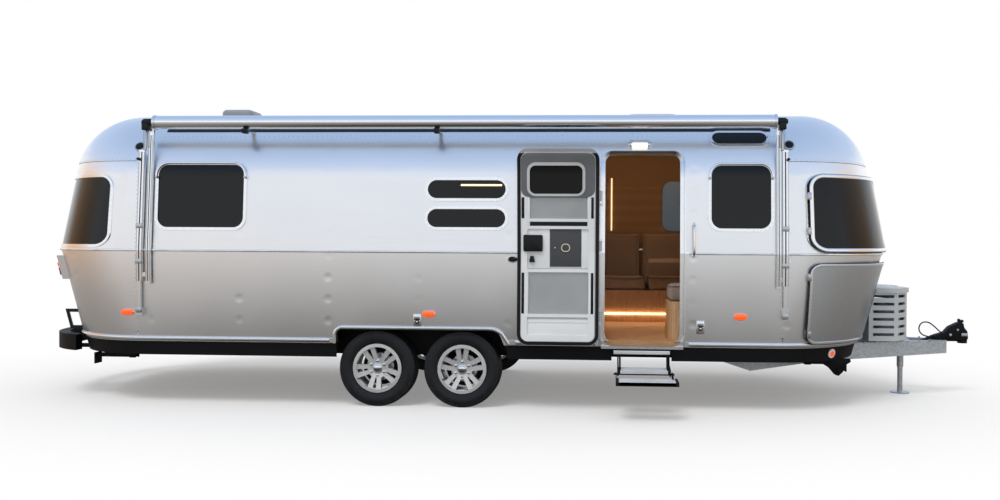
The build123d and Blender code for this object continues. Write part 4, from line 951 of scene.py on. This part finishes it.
def make_door():
    # columns: name, finish, out, x0, x1, z0, z1, thickness, radius
    flats = [
        ("lock_panel", "white_frame", 0.010, -3.660, -3.432, 1.266, 1.607, 0.006, 0.0),
        ("slide", "dark_slide", 0.010, -3.428, -3.157, 1.280, 1.607, 0.006, 0.0),
        ("side_panel", "white_frame", 0.010, -3.153, -3.042, 1.266, 1.607, 0.006, 0.0),
        ("recess", "black_plastic", 0.006, -3.655, -3.045, 1.612, 1.670, 0.004, 0.0),
        ("kick_panel", "white_frame", 0.008, -3.652, -3.050, 0.636, 0.823, 0.006, 0.045),
        ("screen_stile_rear", "white_frame", 0.020, -3.638, -3.604, 1.622, 1.884, 0.012, 0.0),
        ("screen_stile_front", "white_frame", 0.020, -3.103, -3.062, 1.622, 1.884, 0.012, 0.0),
        ("screen_edge_rear", "black_plastic", 0.024, -3.676, -3.652, 1.700, 1.882, 0.004, 0.0),
        ("screen_edge_front", "black_plastic", 0.024, -3.071, -3.048, 1.700, 1.882, 0.004, 0.0),
        ("low_edge_rear", "black_plastic", 0.024, -3.676, -3.652, 0.870, 1.227, 0.004, 0.0),
        ("low_edge_front", "black_plastic", 0.024, -3.071, -3.048, 0.870, 1.227, 0.004, 0.0),
        ("low_stile_rear", "white_frame", 0.020, -3.638, -3.616, 0.869, 1.228, 0.011, 0.0),
        ("low_stile_front", "white_frame", 0.020, -3.086, -3.064, 0.869, 1.228, 0.011, 0.0),
        ("lock_box", "black_plastic", 0.034, -3.660, -3.492, 1.412, 1.556, 0.026, 0.012),
        ("latch_plate", "dark_slide", 0.014, -3.335, -3.249, 1.405, 1.485, 0.005, 0.038),
    ]
    for name, finish, out, x0, x1, z0, z1, thick, radius in flats:
        outline = rounded(x0, x1, z0, z1, radius) if radius else \
            [(x1, z1), (x0, z1), (x0, z0), (x1, z0)]
        on_door(plate(outline, thick, 0.001), out, "door_" + name, finish)
    # columns: name, finish, out, then x0, x1, z0, z1, radius, width, thickness
    for name, finish, out, *sizes in (
            ("seal", "black_plastic", 0.0032, -3.716, -3.002, 0.593, 2.297, 0.094, 0.030, 0.003),
            ("kick_border", "white_frame", 0.012, -3.634, -3.068, 0.654, 0.803, 0.030, 0.010,
             0.005),
            ("latch_ring", "cream_ring", 0.018, -3.331, -3.253, 1.409, 1.481, 0.034, 0.008,
             0.006)):
        on_door(ring(*sizes), out, "door_" + name, finish)
    pane = (-3.604, -3.146, 1.912, 2.155, 0.05)
    on_door(bezel((-3.680, -3.038, 1.886, 2.262, 0.066), pane, 0.006), 0.026,
            "door_lining", "grey_lining")
    on_door(bezel((-3.628, -3.122, 1.892, 2.182, 0.075), pane, 0.008), 0.031,
            "door_pane_ring", "pale_grey")
    knob = [(-3.560, 1.318), (-3.610, 1.318), (-3.600, 1.372), (-3.570, 1.372)]
    on_door(plate(knob, 0.030, 0.004), 0.040, "door_knob", "black_plastic")
    screws = []
    for x, z in ((-3.636, 1.583), (-3.636, 1.290), (-3.385, 1.445), (-3.065, 1.583),
                 (-3.065, 1.290)):
        y = door_y(z)
        screws.append(rod((x, y - 0.008, z), (x, y - 0.015, z), 0.007, 12, 0.001))
    done(screws, "door_screws", "galvanised_steel", "door")
    make_mesh_screens()


# ------------------------------------------------------------------ wheels
def make_wheels():
    for name in ("front_right", "rear_right", "front_left", "rear_left"):
        sign = -1 if name.endswith("right") else 1
        low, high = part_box("tyre_" + name)
        x, z = (low.x + high.x) / 2, (low.z + high.z) / 2
        rim, wall = surface_of("wheel_" + name), surface_of("tyre_" + name)
        body = "road_wheel_" + name
        face = Vector((0, sign, 0))

        def at(radius, angle, out):
            """A point round the axle, so far out from the middle of the caravan."""
            return Vector((x + radius * math.cos(angle), sign * out,
                           z + radius * math.sin(angle)))

        def bar(spot, back, front, *more):
            return rod(spot + face * back, spot + face * front, *more)

        def rim_face(radius, angle):
            spot = at(radius, angle, 3)
            return rim.ray_cast(spot, -face)[0] or spot - face * 1.9

        nuts = []
        for k in range(6):
            spot = rim_face(0.066, math.radians(60 * k + 30))
            nuts += [bar(spot, -0.004, 0.016, 0.0125, 6, 0.0015),
                     bar(spot, 0.016, 0.021, 0.0085, 12, 0.001)]
        done(nuts, "wheel_nuts_" + name, "bright_trim", body)
        hub = rim_face(0.0, 0.0)
        hub = rim_face(0.045, 0.3) if abs(hub.y) < 1.0 else hub
        hub = Vector((x, hub.y, z))
        done([bar(hub, -0.012, 0.010, 0.040, 36, 0.003),
              ball(hub + face * 0.010, 0.034, (1, 0.36, 1), 28, 12)],
             "hub_cap_" + name, "bright_trim", body)
        middle = at(0, 0, 0)
        drum = [bar(middle, 1.000, 1.052, 0.150, 48, 0.006),
                bar(middle, 0.995, 1.012, 0.172, 48, 0.003)]
        drum += [bar(at(0.13, a, 0), 1.048, 1.056, 0.009, 10, 0.001)
                 for a in (0.3, 1.87, 3.44, 5.01)]
        done(drum, "brake_drum_" + name, "black_steel", body)
        spot = at(-0.195, 0.5, 1.175)
        done([bar(spot, -0.040, 0, 0.0055, 10), bar(spot, 0, 0.012, 0.0065, 10, 0.001)],
             "tyre_valve_" + name, "black_plastic", body)
        rings = []
        for radius in (0.246, 0.292, 0.316):
            spots = [seen(wall, at(radius, math.radians(k * 3.75), 3), -face) for k in range(96)]
            rings.append(strip(spots, 0.0045, 0.0016, closed=True))
        done(rings, "tyre_sidewall_lines_" + name, "tyre_rubber", body)


# ------------------------------------------------------------------ awning
def make_awning():
    links, dark, springs = [], [], []
    for x, way in ((-7.115, 1), (-1.412, -1)):
        links += [rod((x, -1.245, 2.30), (x, -1.215, 2.50), 0.011, 14, 0.002),
                  rod((x + 0.020 * way, -1.236, 2.33), (x + 0.020 * way, -1.214, 2.49), 0.007, 12)]
        dark += [block((x - 0.030, -1.262, 2.485), (x + 0.030, -1.176, 2.545), 0.008),
                 rod((x - 0.036, -1.205, 2.56), (x + 0.036, -1.205, 2.56), 0.034, 28, 0.006),
                 rod((x - 0.050 * way, -1.205, 2.56), (x - 0.030 * way, -1.205, 2.56), 0.022,
                     20, 0.004)]
        coil = [(x - 0.020 * way + 0.006 * math.cos(a), -1.232 + 0.006 * math.sin(a),
                 2.335 + 0.145 * a / 75.4) for a in [0.6 * k for k in range(126)]]
        springs.append(tube(coil, 0.0014, order=2, sides=1))
    done(links, "awning_links", "satin_metal")
    done(dark, "awning_knuckles", "black_plastic")
    done(springs, "awning_springs", "galvanised_steel")
    done([rod((x, -1.225, 2.225), (x, -1.262, 2.225), 0.013, 18, 0.003)
          for x in (-1.362, -7.178)], "awning_knobs", "black_plastic")
    hooks = []
    for x in (-6.2, -4.455):
        hooks += [block((x - 0.022, -1.262, 2.455), (x + 0.022, -1.190, 2.500), 0.008),
                  rod((x, -1.262, 2.476), (x, -1.272, 2.476), 0.014, 18, 0.003)]
    done(hooks, "awning_hooks", "black_plastic")
    arms = surface_of("awning_arms")

    def on_arm(x, z):
        return arms.ray_cast(Vector((x, -3, z)), Vector((0, 1, 0)))[0], Vector((0, -1, 0))

    def clamp(x, z, wide, tall, out, bevel):
        y = on_arm(x, z if z > 1 else 0.87)[0].y
        return block((x - wide, y - out, z - tall), (x + wide, y + 0.002, z + tall), bevel)

    groove_shade_strips, ridges, clamps = [], [], []
    # columns: middle of the channel, low end, high end, half width
    for x, low, high, half in ((-7.155, 1.12, 2.29, 0.027), (-7.074, 1.12, 2.44, 0.019),
                               (-1.385, 1.12, 2.29, 0.027), (-1.441, 1.12, 2.44, 0.019)):
        middle = [on_arm(x, low + (high - low) * k / 24) for k in range(25)]
        # dark strip down the middle of each arm: painted shade of its channel
        groove_shade_strips.append(strip(middle, half * 0.42, 0.0012, sink=0.002))
        for side in (-1, 1):
            path = [(p + Vector((side * half * 0.88, 0, 0)), n) for p, n in middle]
            ridges.append(strip(path, 0.006, 0.004, sink=0.002))
    done(groove_shade_strips, "awning_arm_painted_groove_shade", "dark_slide", angle=50)
    done(ridges, "awning_arm_ridges", "satin_metal", angle=50)
    for x in (-7.155, -1.385):
        clamps += [clamp(x, z, 0.031, 0.022, 0.010, 0.003) for z in (1.30, 1.62)]
        clamps.append(clamp(x, 0.860, 0.026, 0.025, 0.014, 0.004))
    done(clamps, "awning_arm_clamps", "satin_metal")


# ------------------------------------------------------------------ breakaway cable
CABLE_ROUTE = [(0.410, -0.020, 0.596), (0.380, -0.022, 0.618), (0.325, -0.032, 0.668),
               (0.262, -0.042, 0.716), (0.190, -0.046, 0.712), (0.160, -0.046, 0.650),
               (0.190, -0.042, 0.590), (0.262, -0.032, 0.566), (0.325, -0.022, 0.562),
               (0.352, -0.020, 0.562)]
CABLE_WIDTH = 0.013


def make_cable():
    """The breakaway cable: a stiff sheathed loop from the coupling back into its housing."""
    cable = placed(wire(CABLE_ROUTE, CABLE_WIDTH / 2, 3, 8, 4), "breakaway_cable")
    cable.data.name = "breakaway_cable"
    cable.data.materials.append(FINISHES["black_plastic"])
    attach(cable, "caravan")


# ------------------------------------------------------------------ tail, nose, step
def make_tail_shells():
    work = bmesh.new()
    work.from_mesh(frame["nodes"]["rear_fittings"].data)
    bmesh.ops.remove_doubles(work, verts=work.verts, dist=1e-5)
    bmesh.ops.delete(work, geom=[v for v in work.verts if v.co.z < 1.0], context="VERTS")
    work.normal_update()
    for point in work.verts:
        point.co += point.normal * 0.0025
    mesh = bpy.data.meshes.new("shells")
    work.to_mesh(mesh)
    work.free()
    done(placed(mesh), "tail_lamp_shells", "satin_metal")


def make_tail_lenses():
    tail = surface_of("rear_fittings")
    inner, outer = 0.772, 0.888
    for finish, low, high in (("red_lens", 1.150, 1.225), ("amber_lens", 1.232, 1.270),
                              ("lit_lens", 1.277, 1.315)):
        half, tall = (outer - inner) / 2, (high - low) / 2
        spots = [seen(tail, Vector((-11, side * (inner + outer) / 2, (low + high) / 2)),
                      Vector((1, 0, 0))) for side in (-1, 1)]
        fitting("tail_" + finish, finish, spots,
                (block, (-half, -tall, -0.004), (half, tall, 0.010), 0.004, 3))


def make_step():
    for name, body, x0, x1, y0, y1, z in (
            ("upper", "caravan", -2.833, -2.383, -1.468, -1.277, 0.395),
            ("lower", "folding_step", -2.846, -2.330, -1.722, -1.525, 0.338)):
        plank = [block((x0, y0, z - 0.0015), (x1, y1, z + 0.003), 0.0012, 1),
                 block((x0, y0 - 0.003, z - 0.024), (x1, y0 + 0.002, z + 0.003), 0.0012, 1)]
        plank += [block((x0 + 0.004, y0 + (y1 - y0) * (k + 0.3) / 9, z + 0.002),
                        (x1 - 0.004, y0 + (y1 - y0) * (k + 0.62) / 9, z + 0.006), 0.0008, 1)
                  for k in range(9)]
        done(plank, "step_tread_" + name, "tread_metal", body)
        done([block((x - 0.012, y0 - 0.004, z - 0.030), (x + 0.012, y1 - 0.01, z + 0.008), 0.004)
              for x in (x0 + 0.011, x1 - 0.011)], "step_caps_" + name, "black_plastic", body)
    done([block((-2.870, -1.2835, 0.514), (-2.378, -1.2795, 0.546), 0.0015)]
         + [block((-2.866, -1.286, z), (-2.382, -1.283, z + 0.005), 0.001, 1)
            for z in (0.536, 0.520)], "step_bar_face", "tread_metal")
    profile = [(-1.290, 0.512), (-1.262, 0.512), (-1.290, 0.400), (-1.462, 0.384), (-1.466, 0.412),
               (-1.318, 0.430)]
    sides = [shifted(plate(profile, 0.016, 0.003), lambda co: Vector((x + co.y, co.x, co.z)))
             for x in (-2.822, -2.410)]
    for arm in sides:
        arm.data.flip_normals()
    done(sides, "step_side_arms", "black_steel")


def make_nose():
    top, bolts = 0.540, []
    for x in [-0.72 + 0.12 * k for k in range(9)]:
        y = 0.62 - 0.52 * (x + 0.95) / 1.35
        bolts += [rod((x, side * y, top - 0.002), (x, side * y, top + 0.009), 0.011, 6, 0.001)
                  for side in (-1, 1)]
    done(bolts, "drawbar_bolts", "galvanised_steel")
    gussets = []
    profile = [(-1.110, 0.455), (-0.735, 0.455), (-0.730, 0.425), (-0.765, 0.405),
               (-0.800, 0.335), (-0.838, 0.298), (-0.872, 0.308), (-0.925, 0.370),
               (-0.975, 0.402), (-1.110, 0.420)]
    for y in (-0.925, 0.925):
        gussets += [shifted(plate(profile, 0.040, 0.006), lambda co: co + Vector((0, y - 0.02, 0))),
                    rod((-0.838, y - 0.034, 0.345), (-0.838, y + 0.034, 0.345), 0.016, 6, 0.002)]
    done(gussets, "steady_gussets", "black_steel")
    done([ball((0.600, 0, 0.722), 0.020, (1, 1, 0.8), 20, 12),
          ball((0.560, -0.030, 0.735), 0.016, (1, 1, 1), 18, 10)],
         "coupling_knobs", "black_plastic")
    casting = plate([(0.300, 0.548), (0.330, 0.585), (0.420, 0.612), (0.470, 0.668), (0.560, 0.712),
                     (0.604, 0.708), (0.612, 0.660), (0.642, 0.628), (0.650, 0.560),
                     (0.640, 0.532), (0.430, 0.528)], 0.104, 0.012)
    done(shifted(casting, lambda co: co - Vector((0, 0.052, 0))),
         "coupling_housing", "black_steel")
    done([block((0.575, -0.068, 0.578), (0.634, -0.050, 0.608), 0.006),
          rod((0.470, -0.066, 0.590), (0.470, -0.048, 0.590), 0.014, 6, 0.002),
          rod((0.540, -0.066, 0.640), (0.540, -0.048, 0.640), 0.012, 6, 0.002)],
         "coupling_latch", "galvanised_steel")


# ------------------------------------------------------------------ inside
def stuffed(low, high, voxel):
    """A cushion: a box with soft corners, blown out by air pressure and then smoothed."""
    swell, frames = 0.012, 14
    piece = block([a + swell / 2 for a in low], [b - swell / 2 for b in high], 0.022, 3)
    modified(piece, "REMESH", mode="VOXEL", voxel_size=voxel)
    rest = [v.co.copy() for v in piece.data.vertices]
    bpy.ops.object.modifier_add(type="CLOTH")
    cloth = piece.modifiers[0]
    cloth.settings.use_pressure = True
    cloth.settings.uniform_pressure_force = 4
    cloth.settings.effector_weights.gravity = 0
    cloth.point_cache.frame_start, cloth.point_cache.frame_end = 1, frames
    for number in range(1, frames + 1):
        bpy.context.scene.frame_set(number)
    bpy.ops.object.modifier_apply(modifier=cloth.name)
    bpy.context.scene.frame_set(1)
    for point, start in zip(piece.data.vertices, rest):
        move = point.co - start
        if move.length > swell:
            point.co = start + move * (swell / move.length)
    return modified(piece, "SUBSURF")


def piping(low, high):
    """The welt round a cushion's top edge."""
    inset, level = 0.018, high[2] - 0.010
    edge = rounded(low[0] + inset, high[0] - inset, low[1] + inset, high[1] - inset, 0.03, 5)
    return tube([(x, y, level) for x, y in edge], 0.004, closed=True, sides=2)


def make_cushions():
    for node, name, voxel, boxes in (
            ("lounge_seats", "lounge_seat_cushions", 0.012, [
                ((-3.008, 0.622, 0.967), (-2.520, 1.058, 1.108)),
                ((-2.512, 0.622, 0.967), (-1.970, 1.058, 1.108)),
                ((-1.962, 0.622, 0.967), (-1.422, 1.058, 1.108)),
                ((-2.388, -1.058, 0.967), (-1.422, -0.622, 1.108))]),
            ("lounge_backs", "lounge_back_cushions", 0.012, [
                ((-3.008, 1.062, 0.990), (-2.572, 1.168, 1.598)),
                ((-2.564, 1.062, 0.990), (-1.996, 1.168, 1.598)),
                ((-1.988, 1.062, 0.990), (-1.422, 1.168, 1.598))]),
            ("mattress", "mattress_cover", 0.02, [
                ((-7.898, -0.638, 0.972), (-6.152, 0.638, 1.118))])):
        piece = done([stuffed(*box, voxel) for box in boxes], name, "upholstery", angle=60)
        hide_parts(node)
        if node != "lounge_backs":
            done([piping(*box) for box in boxes], name + "_welt", "dark_slide", angle=60)


def make_lights_inside():
    def bars(*boxes):
        return [block((x0, y0, z0), (x1, y1, z1), 0.003) for x0, x1, y0, y1, z0, z1 in boxes]

    done(bars((-3.00, -2.88, 1.085, 1.110, 2.385, 2.400),
              (-2.27, -2.09, 1.060, 1.085, 2.400, 2.425),
              (-3.00, -1.46, 0.622, 0.632, 0.704, 0.716),
              (-4.10, -1.60, -0.20, -0.17, 2.640, 2.652),
              (-4.10, -1.60, 0.17, 0.20, 2.640, 2.652)), "inside_lights", "warm_light", angle=40)
    line = block((-2.912, 0, 1.62), (-2.898, 0.012, 2.36), 0.002)
    # a pane just inside the far lounge window that glows: painted daylight seen through the glass
    pane = plate(rounded(-2.325, -1.50, 1.617, 2.18, 0.095), 0.004, 0.001)
    for piece, y in ((line, 1.183), (pane, 1.196)):
        shifted(piece, lambda co: co + Vector((0, y - (co.z - BELT) * LEAN, 0)))
    done(line, "wall_light_strip", "soft_light", angle=40)
    done(pane, "painted_daylight_pane", "daylight_pane")
    done(bars((-3.015, -2.865, 1.105, 1.130, 2.378, 2.410),
              (-2.285, -2.075, 1.082, 1.100, 2.390, 2.438)),
         "inside_light_mounts", "satin_metal", angle=40)


def make_lining():
    """Textile on the inner face of the walls and roof, 2 mm off the sheet."""
    for node in ("side_wall_left", *[name for name in SHELL if name != "side_wall_left"]):
        mesh = frame["nodes"][node].data.copy()
        work = bmesh.new()
        work.from_mesh(mesh)
        bmesh.ops.remove_doubles(work, verts=work.verts, dist=1e-5)
        outer = [f for f in work.faces if f.normal.dot(outward(f.calc_center_median())) > -0.55]
        bmesh.ops.delete(work, geom=outer, context="FACES")
        work.normal_update()
        for point in work.verts:
            point.co += point.normal * 0.0035
        work.to_mesh(mesh)
        work.free()
        done(modified(placed(mesh), "SOLIDIFY", thickness=0.0015), "lining_" + node,
             "wall_lining", angle=40)


# ------------------------------------------------------------------ studio
WHITE = (1, 1, 1, 1)


def make_floor():
    """A floor that is pale and takes shadows for the camera, and for the sheet's mirror shows
    painted shade that darkens towards the caravan and a painted warm reflection behind its tail."""
    bpy.ops.mesh.primitive_plane_add(size=160, location=(-4.3, 0, 0))
    floor = bpy.context.object
    floor.name = "studio_floor"
    made = Finish("pale_floor", "#D8D8D8", 0.9, Specular_IOR_Level=0.0)

    def length(vector):
        return made.add("VectorMath", {0: vector}, operation="LENGTH").outputs["Value"]

    oval = made.add("Mapping", {"Vector": made.place, "Scale": (0.10, 0.21, 1.0)}).outputs[0]
    fade = made.spread(length(oval), 0.0, 1.0, 0.42, 0.85, "SMOOTHSTEP")
    matt = made.add("BsdfDiffuse", {"Color": tone("#F4F4F4")}).outputs[0]
    pale = made.either(0.25, matt, made.light(WHITE, 1.0))
    # seen only by glossy rays: painted shade, dark near the caravan and pale far off, and a painted
    # warm glow behind the tail
    far = made.maths("POWER", made.spread(length(made.place), 0.0, 1.0, 3.0, 22.0), 0.6)
    behind = made.spread(made.axis("X"), 0.0, 1.0, -11.0, -17.0)
    ground = made.between(behind, made.between(far, "#423F3C", "#DAD7D3"), "#F0B47C")
    plain = made.add("BsdfDiffuse", {"Color": tone("#B8B6B3")}).outputs[0]
    rays = made.add("LightPath").outputs
    unseen = made.either(rays["Is Glossy Ray"], plain, made.light(ground, 1.0))
    shown = made.either(fade, pale, made.light(WHITE, 1.0))
    made.tree.links.new(made.either(rays["Is Camera Ray"], unseen, shown),
                        made.tree.nodes["Material Output"].inputs["Surface"])
    floor.data.materials.append(made.material)


def make_world():
    """White for the camera, and for the sheet's mirror a sky over a pale horizon with warm
    light at both ends."""
    world = bpy.data.worlds.new("studio_light")
    bpy.context.scene.world = world
    world.use_nodes = True
    made = Nodes(world.node_tree, "Generated")
    ramp = made.add("ValToRGB", {0: made.spread(made.axis("Z"), 0.0, 1.0, -1.0, 1.0)})
    stops = [(0.0, "#5A5652"), (0.49, "#DAD7D4"), (0.53, "#EFEEEC"), (0.55, "#FFFFFF"),
             (0.61, "#F3F8FF"), (0.69, "#BACDEB"), (1.0, "#9AB2D6")]
    points = ramp.color_ramp.elements
    while len(points) < len(stops):
        points.new(0.5)
    for point, (where, colour) in zip(points, stops):
        point.position = where
        point.color = tone(colour)
    along = made.spread(made.maths("ABSOLUTE", made.axis("X")), 0.0, 1.0, 0.86, 0.985,
                        "SMOOTHSTEP")
    level = made.spread(made.maths("ABSOLUTE", made.axis("Z")), 1.0, 0.0, 0.1, 0.42,
                        "SMOOTHSTEP")
    warm = made.between(made.maths("MULTIPLY", along, level), ramp.outputs[0], "#E9BE93")
    rays = made.add("LightPath").outputs
    mirrored = made.either(rays["Is Glossy Ray"], made.light(WHITE, 0.75, "Background"),
                           made.light(warm, 1.25, "Background"))
    made.tree.links.new(
        made.either(rays["Is Camera Ray"], mirrored, made.light(WHITE, 1.0, "Background")),
        made.tree.nodes["World Output"].inputs["Surface"])


def make_lamp():
    bpy.ops.object.light_add(type="SUN", location=(-6, -8, 12))
    lamp = bpy.context.object
    lamp.name = "soft_key"
    lamp.data.energy = 1.2
    lamp.data.angle = math.radians(25)
    lamp.visible_glossy = False
    lamp.rotation_euler = Vector((-0.25, -0.55, 1.0)).to_track_quat("Z", "Y").to_euler()
    bpy.context.scene.view_settings.view_transform = "Standard"


make_camera()
make_cable()
dress_nodes()
make_seams()
make_mouldings()
make_guard_trims()
make_window_trims()
make_small_fittings()
make_door()
make_wheels()
make_awning()
make_tail_shells()
make_step()
make_tail_lenses()
make_nose()
make_lights_inside()
make_lining()
make_cushions()
make_floor()
make_world()
make_lamp()
